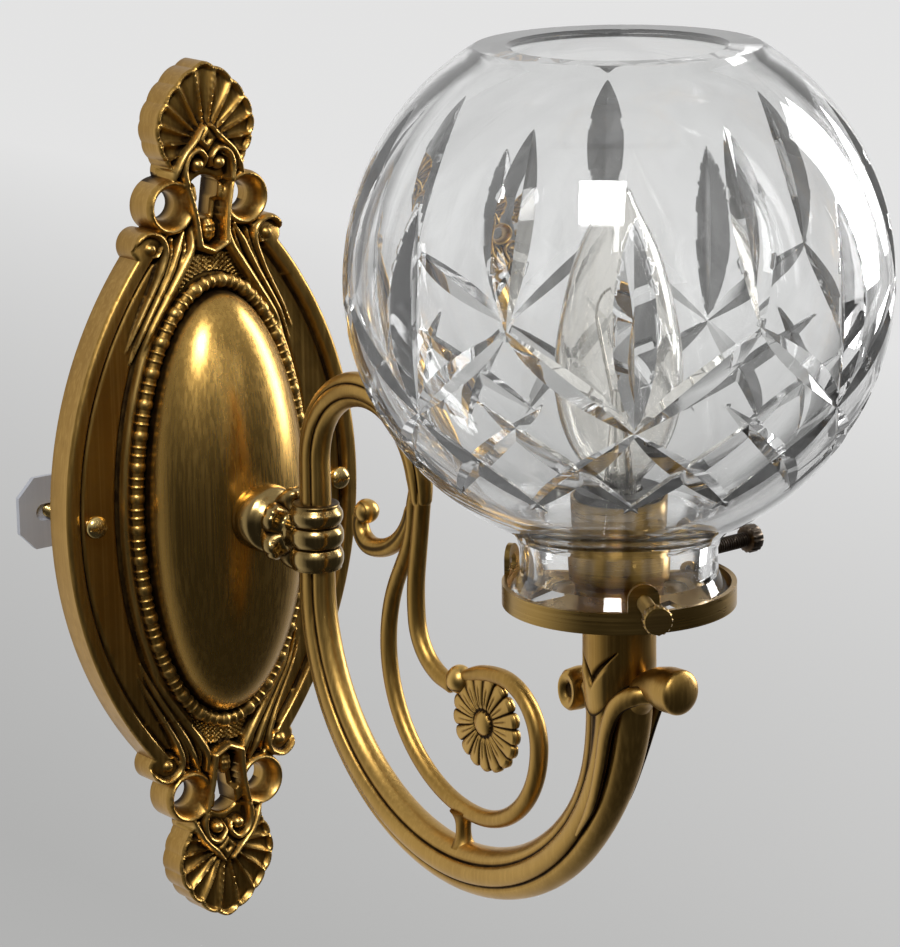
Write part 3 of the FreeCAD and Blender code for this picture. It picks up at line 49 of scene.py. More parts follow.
level = Vector((math.cos(CAMERA_YAW), -math.sin(CAMERA_YAW), 0))
upward = level.cross(ahead)
side = level * math.cos(CAMERA_ROLL) + upward * math.sin(CAMERA_ROLL)
top = upward * math.cos(CAMERA_ROLL) - level * math.sin(CAMERA_ROLL)
camera = bpy.data.objects.new("camera", bpy.data.cameras.new("camera"))
camera.data.lens = CAMERA_LENS
camera.matrix_world = (Matrix.Translation(CAMERA_PLACE)
                       @ Matrix((side, top, -ahead)).transposed().to_4x4())
bpy.context.scene.collection.objects.link(camera)
bpy.context.scene.camera = camera
bpy.context.scene.view_settings.view_transform = "Standard"


# Studio: a pale floor and backdrop tone, a soft box front left and a tall one at the right.
FLOOR_HEIGHT, FLOOR_HALF = -0.46, 14.0
FLOOR_TONE, FLOOR_FAR_TONE = (0.50, 0.50, 0.495), (0.95, 0.95, 0.95)
FLOOR_GLOW, FLOOR_DARK = 0.78, 0.12
SURROUND_TONE = (0.80, 0.80, 0.80)
ROOM_TONE = (0.13, 0.127, 0.122)
DARK_TONE = (0.04, 0.039, 0.037)
SECTOR_TONE = (0.09, 0.09, 0.088)
SECTORS, DARK_SECTOR = 8.0, math.radians(19.0)


def cleared_tree(owner):
    """The node tree of a material or world, switched on and emptied."""
    owner.use_nodes = True
    owner.node_tree.nodes.clear()
    return owner.node_tree


def feed(value, socket):
    """Gives a socket its value: linked where it comes from a node, set where it is plain."""
    if isinstance(value, bpy.types.NodeSocket):
        socket.id_data.links.new(value, socket)
    elif socket.type == "RGBA":
        socket.default_value = (*value, 1.0)
    else:
        socket.default_value = value


def add(tree, kind, inputs=(), **settings):
    """A new node in the tree; inputs are pairs of a socket's name or number and its value."""
    made = tree.nodes.new(kind)
    for key, value in settings.items():
        setattr(made, key, value)
    for title, value in inputs:
        feed(value, made.inputs[title])
    return made


def sums(how, *values):
    """One sum of numbers, such as ADD or MAXIMUM, in the tree that its sockets are in."""
    tree = next(value.id_data for value in values if isinstance(value, bpy.types.NodeSocket))
    return add(tree, "ShaderNodeMath", enumerate(values), operation=how).outputs[0]


def between(value, low, high, out_low=0.0, out_high=1.0):
    """The value mapped from low..high to out_low..out_high, and held there outside it."""
    return add(value.id_data, "ShaderNodeMapRange", (
        ("Value", value), ("From Min", low), ("From Max", high),
        ("To Min", out_low), ("To Max", out_high))).outputs[0]


def tinted(factor, first, second):
    """A colour between first and second by the factor; each colour is a socket or a plain one."""
    return add(factor.id_data, "ShaderNodeMix", (("Factor", factor), ("A", first), ("B", second)),
               data_type="RGBA").outputs["Result"]


def mixed_surface(tree, share, first, second):
    """The tree's surface: the first shader, and this share of the second one."""
    mixed = add(tree, "ShaderNodeMixShader",
                ((0, share), (1, first.outputs[0]), (2, second.outputs[0])))
    add(tree, "ShaderNodeOutputMaterial", (("Surface", mixed.outputs[0]),))


def pale_sectors(axes):
    """1 in eight wide pale sectors round the object and 0 in the narrow dark ones between them: the
    cosine of eight times the angle, cut off near its top."""
    angle = sums("SUBTRACT", sums("ARCTAN2", axes["X"], axes["Y"]), DARK_SECTOR)
    return between(sums("COSINE", sums("MULTIPLY", angle, SECTORS)), 0.30, 0.75, 1.0, 0.0)


# What metal mirrors is dark in front and below, paler above and behind. Crystal shows pale sectors
# with dark strips between them, which its cuts break up.
world = bpy.data.worlds.new("studio")
bpy.context.scene.world = world
tree = cleared_tree(world)
rays = add(tree, "ShaderNodeLightPath").outputs
direction = add(tree, "ShaderNodeTexCoord").outputs["Generated"]
axes = add(tree, "ShaderNodeSeparateXYZ", ((0, direction),)).outputs
pale = sums("MAXIMUM", between(axes["Y"], -0.15, 0.60), between(axes["Z"], -0.10, 0.75, 0.0, 0.62))
room = tinted(rays["Is Glossy Ray"], ROOM_TONE, tinted(pale, DARK_TONE, SURROUND_TONE))
sectors = sums("MINIMUM", pale_sectors(axes), between(axes["Z"], 0.55, 0.85, 1.0, 0.0))
room = tinted(rays["Is Transmission Ray"], room, tinted(sectors, SECTOR_TONE, SURROUND_TONE))
room = tinted(rays["Is Camera Ray"], room, SURROUND_TONE)
glow = add(tree, "ShaderNodeBackground", (("Color", room),))
add(tree, "ShaderNodeOutputWorld", (("Surface", glow.outputs[0]),))

floor_mesh = bpy.data.meshes.new("floor")
floor_mesh.from_pydata([(across * FLOOR_HALF, onward * FLOOR_HALF, FLOOR_HEIGHT)
                        for across, onward in ((-1, -1), (1, -1), (1, 1), (-1, 1))],
                       [], [(0, 1, 2, 3)])
floor = bpy.data.objects.new("floor", floor_mesh)
bpy.context.scene.collection.objects.link(floor)
paper = bpy.data.materials.new("floor_paper")
tree = cleared_tree(paper)
rays = add(tree, "ShaderNodeLightPath").outputs
spot = add(tree, "ShaderNodeTexCoord").outputs["Object"]
axes = add(tree, "ShaderNodeSeparateXYZ", ((0, spot),)).outputs
far = add(tree, "ShaderNodeVectorMath", ((0, spot),), operation="LENGTH").outputs["Value"]
# Painted light on the floor: its glow is paler towards +X and far off than near the sconce.
far_off = sums("MAXIMUM", between(axes["X"], 0.45, 1.75), between(far, 5.0, 12.5))
tone = tinted(far_off, FLOOR_TONE, FLOOR_FAR_TONE)
# Rays through the crystal see painted dark strips on the floor, between pale sectors.
shade = between(pale_sectors(axes), 0.0, 1.0, FLOOR_DARK, 1.0)
shade = sums("MAXIMUM", shade, rays["Is Camera Ray"])
seen = sums("MAXIMUM", rays["Is Camera Ray"], rays["Is Transmission Ray"])
mixed_surface(tree, sums("MULTIPLY", seen, FLOOR_GLOW),
              add(tree, "ShaderNodeBsdfDiffuse", (("Color", tone),)),
              add(tree, "ShaderNodeEmission", (("Color", tone), ("Strength", shade))))
floor_mesh.materials.append(paper)
floor.visible_glossy = False

LAMPS = (
    ("left_box", (-0.93, -1.01, 1.215), (0.52, 0.52), 21.0),
    ("right_box", (1.22, -0.30, 0.36), (0.36, 0.95), 14.0),
)
for lamp_name, lamp_place, lamp_size, power in LAMPS:
    lamp_data = bpy.data.lights.new(lamp_name, "AREA")
    lamp_data.shape = "RECTANGLE"
    lamp_data.size, lamp_data.size_y = lamp_size
    lamp_data.energy = power
    lamp = bpy.data.objects.new(lamp_name, lamp_data)
    lamp.location = lamp_place
    aim = Vector((0, -0.10, 0.02)) - lamp.location
    lamp.rotation_euler = aim.to_track_quat("-Z", "Y").to_euler()
    bpy.context.scene.collection.objects.link(lamp)


# Backplate: one hollow brass casting, aged dark in its recesses and rubbed bright on its ridges, with
# painted shade beside the bead moulding, on its back and walls, and most round the crest's holes.
# Rim, sunk panel and raised oval band, and a pierced crest with shell, eyes and curls at each end.
MM = 0.001
BRASS = {"Bright": (0.72, 0.465, 0.145), "Body": (0.39, 0.225, 0.053), "Brown": (0.21, 0.110, 0.025),
         "Patina": (0.030, 0.016, 0.007), "Depth": 1.0, "Gloss": 0.37, "Mottle": 0.7, "Turned": 0.0}


def surface_group(name, inputs):
    """An empty node group with these inputs and their starting values, which puts out a colour, a
    roughness and a height."""
    tree = bpy.data.node_groups.new(name, "ShaderNodeTree")
    for title, start in inputs.items():
        kind = "Color" if isinstance(start, tuple) else "Float"
        made = tree.interface.new_socket(title, in_out="INPUT", socket_type="NodeSocket" + kind)
        made.default_value = (*start, 1.0) if kind == "Color" else start
    for title, kind in (("Color", "Color"), ("Roughness", "Float"), ("Height", "Float")):
        tree.interface.new_socket(title, in_out="OUTPUT", socket_type="NodeSocket" + kind)
    return tree, add(tree, "NodeGroupInput").outputs, add(tree, "NodeGroupOutput").inputs


def clouds(place, scale, detail, stretch=(1, 1, 1)):
    """Soft noise in object coordinates, finer or drawn out along an axis by the stretch."""
    stretched = add(place.id_data, "ShaderNodeMapping", (("Vector", place), ("Scale", stretch)))
    return add(place.id_data, "ShaderNodeTexNoise", (
        ("Vector", stretched.outputs[0]), ("Scale", scale), ("Detail", detail))).outputs["Fac"]


aged_metal, given, put = surface_group("aged_metal", BRASS)
spot = add(aged_metal, "ShaderNodeTexCoord").outputs["Object"]
relief_and_shade = add(aged_metal, "ShaderNodeAttribute", attribute_name="relief_and_shade").outputs["Fac"]
large, small, fine = clouds(spot, 26.0, 3.0), clouds(spot, 190.0, 5.0), clouds(spot, 1500.0, 3.0)
brushed = clouds(spot, 1.0, 3.0, (1150.0, 1150.0, 7.0))
lathed = clouds(spot, 1.0, 3.0, (30.0, 30.0, 2300.0))
scratches = sums("ADD", sums("MULTIPLY", lathed, given["Turned"]),
                 sums("MULTIPLY", brushed, sums("SUBTRACT", 1.0, given["Turned"])))
# Where the relief mark is low the colour goes towards patina: real patina in hollows, and painted shade
# where pieces set the mark low for shade.
patina_and_shade = sums("MULTIPLY", between(relief_and_shade, -0.42, -0.02, 1.0, 0.0), given["Depth"])
worn = between(relief_and_shade, 0.06, 0.50)
blotch = sums("MULTIPLY", between(large, 0.40, 0.66, 0.0, 0.55), given["Mottle"])
speck = sums("MULTIPLY", between(small, 0.50, 0.78, 0.0, 0.30), given["Mottle"])
tone = tinted(blotch, given["Body"], given["Brown"])
tone = tinted(speck, tone, given["Brown"])
tone = tinted(between(scratches, 0.45, 0.72, 0.0, 0.28), tone, given["Bright"])
tone = tinted(sums("MULTIPLY", worn, 0.75), tone, given["Bright"])
uneven = sums("MULTIPLY", patina_and_shade, between(small, 0.2, 0.6, 0.75, 1.0))
feed(tinted(uneven, tone, given["Patina"]), put["Color"])
cloudy = sums("MULTIPLY", given["Mottle"], between(small, 0.3, 0.7, -0.03, 0.08))
rough = sums("ADD", given["Gloss"], cloudy)
rough = sums("ADD", rough, between(scratches, 0.4, 0.65, -0.03, 0.04))
rough = sums("ADD", rough, sums("MULTIPLY", patina_and_shade, 0.22))
feed(sums("SUBTRACT", rough, sums("MULTIPLY", worn, 0.06)), put["Roughness"])
feed(sums("ADD", sums("MULTIPLY", fine, 0.4), scratches), put["Height"])


def bumped(height, strength, distance):
    """The normal of a surface that rises with the height."""
    return add(height.id_data, "ShaderNodeBump", (
        ("Height", height), ("Strength", strength), ("Distance", distance))).outputs[0]


def solid_finish(name, group, values, bump, metallic):
    """A finish that takes colour, roughness and height from a group with the finish's own values."""
    made = bpy.data.materials.new(name)
    tree = cleared_tree(made)
    face = add(tree, "ShaderNodeGroup", values.items(), node_tree=group).outputs
    shader = add(tree, "ShaderNodeBsdfPrincipled", (
        ("Metallic", metallic), ("Base Color", face["Color"]), ("Roughness", face["Roughness"]),
        ("Normal", bumped(face["Height"], bump, 0.0002))))
    add(tree, "ShaderNodeOutputMaterial", (("Surface", shader.outputs[0]),))
    return made


def metal(name, bump=0.05, metallic=1.0, **changes):
    """Aged brass, or another metal by what it changes in the brass's values."""
    return solid_finish(name, aged_metal, {**BRASS, **changes}, bump, metallic)


antique = metal("antique_brass")


def made_piece(name, points, faces, relief_and_shade, finish=antique, body="sconce",
               slot_name="antique_brass", replaced=(), crease=48, walls=None, weld=0.002):
    """Points in mm and faces become a closed piece, its doubles merged and its normals outwards.
    The relief mark of each point says how far it stands over its surroundings, in mm, and is set lower where
    shade is painted; walls says for each face whether it is a wall, which meets the other faces at sharp
    edges."""
    shell = bpy.data.meshes.new(name)
    shell.from_pydata((np.asarray(points) * MM).tolist(), [], [list(face) for face in faces])
    mark = shell.attributes.new("relief_and_shade", "FLOAT", "POINT")
    mark.data.foreach_set("value", np.ascontiguousarray(relief_and_shade, dtype=np.float32).ravel())
    if walls is not None:
        wall_mark = shell.attributes.new("wall", "BOOLEAN", "FACE")
        wall_mark.data.foreach_set("value", np.ascontiguousarray(walls, dtype=bool))
    sheet = bmesh.new()
    sheet.from_mesh(shell)
    bmesh.ops.remove_doubles(sheet, verts=sheet.verts, dist=weld * MM)
    bmesh.ops.recalc_face_normals(sheet, faces=sheet.faces)
    sheet.to_mesh(shell)
    sheet.free()
    shell.polygons.foreach_set("use_smooth", np.ones(len(shell.polygons), dtype=bool))
    shell.set_sharp_from_angle(angle=math.radians(crease))
    if walls is not None:
        upright = np.zeros(len(shell.polygons), dtype=bool)
        shell.attributes["wall"].data.foreach_get("value", upright)
        sharp_edges = (shell.attributes.get("sharp_edge")
                       or shell.attributes.new("sharp_edge", "BOOLEAN", "EDGE"))
        owners = {}
        for face in shell.polygons:
            for loop in face.loop_indices:
                owners.setdefault(shell.loops[loop].edge_index, set()).add(upright[face.index])
        for edge_index, kinds in owners.items():
            if len(kinds) == 2:
                sharp_edges.data[edge_index].value = True
        shell.attributes.remove(shell.attributes["wall"])
    shell.materials.append(finish)
    piece = bpy.data.objects.new(name, shell)
    bpy.context.scene.collection.objects.link(piece)
    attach(piece, body)
    if replaced:
        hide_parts(*replaced)
    return piece


def placed(x, y, z):
    """Points from their coordinates, each an array that is spread to the shape of all three."""
    return np.stack(np.broadcast_arrays(x, y, z), axis=-1)


def ease(value):
    """Smooth step: 3t squared minus 2t cubed, held at 0 and 1 outside 0..1."""
    t = np.clip(value, 0, 1)
    return t * t * (3 - 2 * t)


def dome_of(value):
    """Round top: the square root of one minus t squared, and nothing outside -1..1."""
    return np.sqrt(np.clip(1 - value * value, 0, None))


def bell(value, width):
    """Bell curve: e to the minus square of the value over the width."""
    return np.exp(-(value / width) ** 2)


def oval_gap(x, z, half_x, half_z):
    """Distance outwards from an oval: (q squared - 1) over twice the slope of q squared."""
    slope = np.hypot(x / half_x ** 2, z / half_z ** 2)
    return ((x / half_x) ** 2 + (z / half_z) ** 2 - 1) / (2 * np.maximum(slope, 1e-6))


def cubic_line(corners, places, swing=1.0):
    """A smooth line through the corners, at places counted in corners: each coordinate is a cubic
    with the corners' own slopes, times swing, at both ends of its run."""
    slopes = np.gradient(corners, axis=0) * swing
    if swing < 1:
        slopes[0] = slopes[-1] = 0
    i = np.minimum(places.astype(int), len(corners) - 2)
    f = (places - i)[:, None]
    return ((2 * f ** 3 - 3 * f ** 2 + 1) * corners[i] + (f ** 3 - 2 * f ** 2 + f) * slopes[i]
            + (3 * f ** 2 - 2 * f ** 3) * corners[i + 1] + (f ** 3 - f ** 2) * slopes[i + 1])


def to_line(x, z, corners, count=28):
    """Distance from a smooth line through the corners, and how far along it the nearest point is.
    The distance is to the line's short chords."""
    line = cubic_line(np.array(corners, dtype=float), np.linspace(0, len(corners) - 1, count))
    best = np.full(np.shape(x), 1e9)
    along = np.zeros(np.shape(x))
    for index in range(count - 1):
        ax, az = line[index]
        bx, bz = line[index + 1] - line[index]
        share = np.clip(((x - ax) * bx + (z - az) * bz) / (bx * bx + bz * bz), 0, 1)
        gap = np.hypot(x - ax - share * bx, z - az - share * bz)
        nearer = gap < best
        best = np.where(nearer, gap, best)
        along = np.where(nearer, (index + share) / (count - 1), along)
    return best, along


SIDE_RADIUS, SIDE_SHIFT = 122.0, 69.0
SHELL_HEART, SHELL_MIDDLE, SHELL_HALF = 109.6, 115.2, (17.6, 18.4)
FLUTE_STEP = 19.4
CREST_FROM, CREST_END = 66.0, 134.2
EYE, EYE_RADIUS, EYE_HOLE = (13.2, 91.6), 8.2, 4.3
CURL, CURL_RADIUS = (21.4, 80.4), 5.3
ROLL, ROLL_RADIUS = (9.2, 101.4), 4.6
outline_turn = np.linspace(0, np.pi, 721)
outline_power = np.where(outline_turn < np.pi / 2, 2 / 1.55, 1.0)
outline_x = SHELL_HALF[0] * np.abs(np.sin(outline_turn)) ** outline_power
outline_z = SHELL_MIDDLE + SHELL_HALF[1] * np.sign(np.cos(outline_turn)) * (
    np.abs(np.cos(outline_turn)) ** outline_power)
SHELL_ANGLES = np.arctan2(outline_x, outline_z - SHELL_HEART)
SHELL_REACHES = np.hypot(outline_x, outline_z - SHELL_HEART)

# Raised strands of the plate, each as corners, half widths and tops along it. Those of the sides
# rise from the panel to the curls; those of the shell frame its foot and come down in a keyhole.
SIDE_STRANDS = (
    (((6.6, 84.5), (6.9, 79), (10.0, 73.5), (14.4, 67), (22.3, 55.2), (27.2, 45)),
     (1.0, 1.7, 2.1, 2.1, 1.8, 0.5), (10.6, 12.2, 12.4, 12.2, 11.6, 9.6)),
    (((9.2, 84), (11.7, 78.8), (14.4, 73), (17.5, 67.6), (24.4, 56), (29.0, 46)),
     (0.8, 1.5, 1.7, 1.6, 1.4, 0.4), (10.2, 11.7, 11.9, 11.6, 11.0, 9.0)),
    (((28.4, 78.6), (26.4, 82.2), (21.8, 85.0), (17.2, 82.8), (16.0, 78.4), (18.0, 72.6), (20.6, 67.4),
      (26.2, 57.4), (30.4, 49)),
     (1.2, 1.5, 1.5, 1.4, 1.4, 1.5, 1.3, 1.2, 0.4),
     (10.0, 11.0, 11.6, 11.7, 11.8, 11.6, 11.0, 10.2, 8.6)),
    (((13.4, 82.4), (14.2, 77.5), (16.4, 72), (19.4, 66.6)), (0.5, 0.9, 0.9, 0.5), (10.2, 11.0, 11.0, 10.2)),
    (((8.8, 82.6), (9.6, 78), (12.4, 72.4)), (0.5, 0.9, 0.5), (10.0, 11.2, 10.6)),
    (((16.9, 80.6), (18.6, 77.8), (20.6, 77.6)), (0.9, 0.9, 0.7), (11.0, 10.6, 10.2)),
)
SHELL_STRANDS = (
    (((1.6, 114.4), (4.6, 110.8), (8.6, 106.8), (11.0, 102.6), (12.2, 99.6)),
     (0.9, 1.2, 1.4, 1.5, 1.2), (11.4, 12.3, 12.4, 12.0, 11.2)),
    (((1.5, 102.6), (1.0, 105.2), (3.6, 107.8), (7.2, 106.2), (8.6, 101.8), (7.6, 96.4), (5.7, 88),
      (4.9, 80.4), (4.4, 79.2), (0, 77.2)),
     (0.9, 1.1, 1.3, 1.4, 1.4, 1.3, 1.3, 1.4, 1.3, 1.3),
     (10.6, 11.8, 12.2, 12.2, 12.2, 12.4, 13.0, 13.5, 13.5, 13.3)),
)
STRAND_RISE = 3.2


def shell_polar(x, z):
    """Angle from upright and distance about the shell's heart, and the distance of its edge, which
    is pointed on top, round below and drawn in a little between every two flutes."""
    angle = np.arctan2(x, z - SHELL_HEART)
    reach = np.hypot(x, z - SHELL_HEART)
    edge = np.interp(angle, SHELL_ANGLES, SHELL_REACHES)
    share = np.degrees(angle) / FLUTE_STEP
    between_flutes = np.abs(share - np.round(share)) * 2
    return angle, reach, edge * (1.0 - 0.028 * between_flutes ** 2), between_flutes


def plate_inside(x, z):
    """How far a point lies inside the plate's outline in mm, less than nothing outside or in a hole.
    The outline is two large discs in common, joined with shell, eyes, curls and rolls."""
    x, z = np.abs(x), np.abs(z)
    sides = SIDE_RADIUS - np.hypot(x + SIDE_SHIFT, z)
    angle, reach, edge, flute = shell_polar(x, z)
    whole = np.maximum(sides, edge - reach)
    for centre, radius in ((EYE, EYE_RADIUS), (CURL, CURL_RADIUS), (ROLL, ROLL_RADIUS)):
        whole = np.maximum(whole, radius - np.hypot(x - centre[0], z - centre[1]))
    hole = np.hypot(x - EYE[0], z - EYE[1]) - EYE_HOLE
    keyhole_half = 2.7 + 1.6 * (z - 87.2) / 11
    keyhole = np.maximum(x - keyhole_half, np.maximum(87.2 - z, z - 99.6 + 0.09 * x * x))
    opening = oval_gap(x, z, 25.8, 63.4)
    return np.minimum(np.minimum(whole, hole), np.minimum(keyhole, opening))


def with_strands(height, x, z, strands):
    """The height with strands raised over it; across a strand, its top falls as one minus the
    distance squared, to the power 0.8."""
    for corners, widths, tops in strands:
        gap, along = to_line(x, z, corners)
        half = np.interp(along, np.linspace(0, 1, len(widths)), widths)
        crown = np.interp(along, np.linspace(0, 1, len(tops)), tops)
        bar = crown - STRAND_RISE + STRAND_RISE * np.clip(1 - (gap / half) ** 2, 0, 1) ** 0.8
        height = np.where(gap < half, np.maximum(height, bar), height)
    return height


def with_knob(height, x, z, foot, rise):
    """The height with a round knob of 2.1 mm radius raised over it."""
    reach = np.hypot(x, z)
    return np.where(reach < 2.1, np.maximum(height, foot + rise * dome_of(reach / 2.1)), height)


def plate_front(x, z):
    """Height of the plate's face over the wall in mm: the highest of its ornaments at each point."""
    x, z = np.abs(x), np.abs(z)
    sides = SIDE_RADIUS - np.hypot(x + SIDE_SHIFT, z)
    crest = ease((z - 75) / 1.2)
    ground = 8.4 - 2.0 * crest
    rim_top = 10.0 - 0.05 * (sides - 2.2) ** 2
    rim = ease((4.9 - sides) / 0.9)
    height = ground + (rim_top - ground) * rim
    height -= 0.9 * bell(sides - 5.5, 0.55) * (1 - crest)
    band = -oval_gap(x, z, 34.6, 74.0) / 3.7
    band_fade = ease((x - 6) / 6)
    top_line = 8.4 + 2.7 * (1 - np.clip(np.abs(band * 2 - 1), 0, 1) ** 3.5)
    on_band = (band > 0) & (band < 1)
    height = np.where(on_band, height + (np.maximum(top_line, height) - height) * band_fade, height)
    height -= 0.8 * bell(band + 0.16, 0.13) * (band < 0.1) * (1 - crest)
    channel = ease((-oval_gap(x, z, 30.9, 70.3)) / 0.6)
    seat = ease((1.9 - oval_gap(x, z, 27.4, 65.2)) / 0.5)
    height = height * (1 - channel) + (8.6 + 2.5 * seat) * channel
    pebbles = 0.42 * np.sin(x * 4.2) * np.sin((z + 0.03 * x * x) * 4.2)
    ground_zone = ease((77 - z - 0.16 * x) / 1.0) * ease((oval_gap(x, z, 31.4, 70.9)) / 0.4) * (x < 12.5)
    height = np.where((ground_zone > 0.02) & (z > 60), 9.4 + pebbles, height)
    height = with_strands(height, x, z, SIDE_STRANDS)
    height = with_knob(height, x - CURL[0] + 0.5, z - CURL[1] + 0.4, 8.6, 2.6)

    eye_reach = np.hypot(x - EYE[0], z - EYE[1])
    funnel = np.where(eye_reach > 7.1, 11.2 - 2.6 * ((eye_reach - 7.1) / 1.6) ** 2,
                      11.2 - 0.75 * (7.1 - eye_reach) - 0.42 * (7.1 - eye_reach) ** 2)
    height = np.where(eye_reach < 8.4, np.maximum(funnel, np.where(eye_reach > 7.6, height, 0)), height)

    angle, reach, edge, flute = shell_polar(x, z)
    share = np.clip(reach / edge, 0, 1.2)
    dish = 8.9 + 2.0 * np.sin(np.clip(share, 0, 1) * 2.4)
    trough = np.minimum(2.1, 0.26 * reach) * (1 - flute ** 3.0) * ease((edge - reach - 0.4) / 1.8)
    rib = 0.35 * bell((1 - flute) * reach * 0.17 - 0.35, 0.16) * ease((reach - 6) / 3)
    in_fan = (np.degrees(angle) < 132) & (reach < edge + 0.4) & (z > 98)
    height = np.where(in_fan, np.maximum(dish - trough - rib, 6.8), height)
    in_root = (np.degrees(angle) >= 132) & (reach < edge) & (x < 10.5)
    height = np.where(in_root, 8.2, height)
    lozenge = np.abs(x) / 4.1 + np.abs(z - 110.6) / 4.4
    lozenge_top = 9.6 + 3.4 * (1 - lozenge) - 3.0 * bell(lozenge, 0.36)
    height = np.where(lozenge < 1, np.maximum(height, lozenge_top), height)
    height = with_strands(height, x, z, SHELL_STRANDS)
    height = with_knob(height, x - 3.8, z - 103.3, 9.2, 3.0)
    bud = np.hypot(x / 2.5, (z - 83.4) / 3.9)
    bud_top = 8.8 + 2.9 * dome_of(bud) - 0.6 * np.abs(np.sin(x * 2.4)) - 0.45 * np.abs(np.sin(z * 1.7))
    height = np.where((bud < 1) & (z < 87.3), np.maximum(height, bud_top), height)
    return height - 1.1 * (1 - dome_of(1 - np.clip(plate_inside(x, z) / 1.1, 0, 1)))


def plate_back(x, z):
    """Height of the plate's back over the wall: the rim's foot is on the wall, the web is raised."""
    sides = SIDE_RADIUS - np.hypot(np.abs(x) + SIDE_SHIFT, z)
    return 5.4 * ease((sides - 2.0) / 1.2) * ease((CREST_FROM - np.abs(z)) / 1.2)


def casting(name, xs, zs, replaced):
    """A plate-like casting: grid cells whose middle is inside the outline, their outer corners
    moved down the slope of the inside distance on to the outline, a front, a back and walls."""
    x, z = np.meshgrid(xs, zs)
    middle_x, middle_z = np.meshgrid((xs[1:] + xs[:-1]) / 2, (zs[1:] + zs[:-1]) / 2)
    kept = plate_inside(middle_x, middle_z) > 0
    around = np.zeros(x.shape, dtype=int)
    for row, column in ((0, 0), (0, 1), (1, 0), (1, 1)):
        around[row:row + kept.shape[0], column:column + kept.shape[1]] += kept
    step = max(np.max(np.diff(xs)), np.max(np.diff(zs)))
    tiny = 0.02
    on_line = (around > 0) & (around < 4)
    wide = np.pad(on_line, 1)
    next_to_line = (around == 4) & np.any([wide[row:row + x.shape[0], column:column + x.shape[1]]
                                           for row in range(3) for column in range(3)], axis=0)
    for _ in range(4):
        gap = plate_inside(x, z)
        gap = np.where(next_to_line, gap - 0.8 * step, gap)
        slope_x = (plate_inside(x + tiny, z) - plate_inside(x - tiny, z)) / (2 * tiny)
        slope_z = (plate_inside(x, z + tiny) - plate_inside(x, z - tiny)) / (2 * tiny)
        on_seam = np.abs(np.abs(z) - CREST_FROM) < 1e-6
        slope_z = np.where(on_seam, 0, slope_z)
        steep = np.maximum(slope_x ** 2 + slope_z ** 2, 0.2)
        moved = ((on_line & (np.abs(gap) < 1.3 * step))
                 | (next_to_line & (np.abs(gap) < 0.7 * step)))
        x = np.where(moved, x - gap * slope_x / steep, x)
        z = np.where(moved, z - gap * slope_z / steep, z)
    front = plate_front(x, z)
    even = front.copy()
    for _ in range(14):
        even[1:-1, 1:-1] = (even[1:-1, 1:-1] * 2 + even[:-2, 1:-1] + even[2:, 1:-1]
                            + even[1:-1, :-2] + even[1:-1, 2:]) / 6
    # A ring just inside the bead moulding is set low: painted shade where the beads stand over the plate.
    relief_and_shade = front - even - 0.9 * (np.abs(oval_gap(x, z, 28.3, 66.2)) < 1.3)
    relief_and_shade = 0.14 + (relief_and_shade - 0.14) * ease((plate_inside(x, z) - 0.7) / 1.4)
    deep = (np.abs(x) < 17) & (np.abs(z) > 84) & (np.abs(z) < 101)
    total = x.size
    number = np.arange(total).reshape(x.shape)
    cell = np.stack([number[:-1, :-1], number[:-1, 1:], number[1:, 1:], number[1:, :-1]], axis=-1)[kept]
    walls = []
    padded = np.pad(kept, 1)
    for neighbour, first, second in (
            (padded[:-2, 1:-1], number[:-1, :-1], number[:-1, 1:]),
            (padded[2:, 1:-1], number[1:, 1:], number[1:, :-1]),
            (padded[1:-1, :-2], number[1:, :-1], number[:-1, :-1]),
            (padded[1:-1, 2:], number[:-1, 1:], number[1:, 1:])):
        bare = kept & ~neighbour
        walls.append(np.stack([second[bare], first[bare], first[bare] + total, second[bare] + total],
                              axis=-1))
    faces = np.concatenate([cell, cell[:, ::-1] + total, *walls])
    points = np.concatenate([placed(x, -front, z).reshape(-1, 3),
                             placed(x, -plate_back(x, z), z).reshape(-1, 3)])
    # Back points, where the walls end, carry a little painted shade, and more inside the deep zone round the
    # crest's eyes and keyhole.
    marks = np.concatenate([relief_and_shade.ravel(), np.where(deep, -0.6, -0.1).ravel()])
    is_wall = np.arange(len(faces)) >= 2 * len(cell)
    used = np.unique(faces)
    renumber = np.zeros(2 * total, dtype=int)
    renumber[used] = np.arange(len(used))
    made_piece(name, points[used], renumber[faces], marks[used], replaced=replaced, walls=is_wall,
               weld=0.10)


GRID = 0.36
for casting_name, columns, low, high, rows, replaced in (
        ("backplate_body", 148, -CREST_FROM, CREST_FROM, 264, ("backplate",)),
        ("crest_top", 105, CREST_FROM, CREST_END, 189, ()),
        ("crest_foot", 105, -CREST_END, -CREST_FROM, 189, ())):
    casting(casting_name, GRID * np.arange(-columns, columns + 1), np.linspace(low, high, rows + 1),
            replaced)


# Bead moulding: a cast brass ring round the dome, one bead and two thin reels in turn.
BEAD_OVAL = (30.3, 68.4)
BEAD_SETS, BEAD_STEPS, BEAD_COLUMNS = 34, 40, 18
BEAD_Y, BEAD_WIRE = -12.0, 2.0
BEADS = ((2.45, 0.18, 0.18, 0.35), (2.35, 0.56, 0.075, 0.5), (2.35, 0.825, 0.075, 0.5))


def full_turn(count):
    """Angles evenly spaced once round."""
    return np.linspace(0, 2 * np.pi, count, endpoint=False)


def grid_faces(rows, columns, ring=False):
    """Quads of rows of points, each row closed to a loop; a ring joins its last row to its first."""
    down, along = np.meshgrid(np.arange(rows if ring else rows - 1), np.arange(columns), indexing="ij")
    below, right_of = (down + 1) % rows, (along + 1) % columns
    return np.stack([down * columns + along, down * columns + right_of,
                     below * columns + right_of, below * columns + along], axis=-1).reshape(-1, 4)


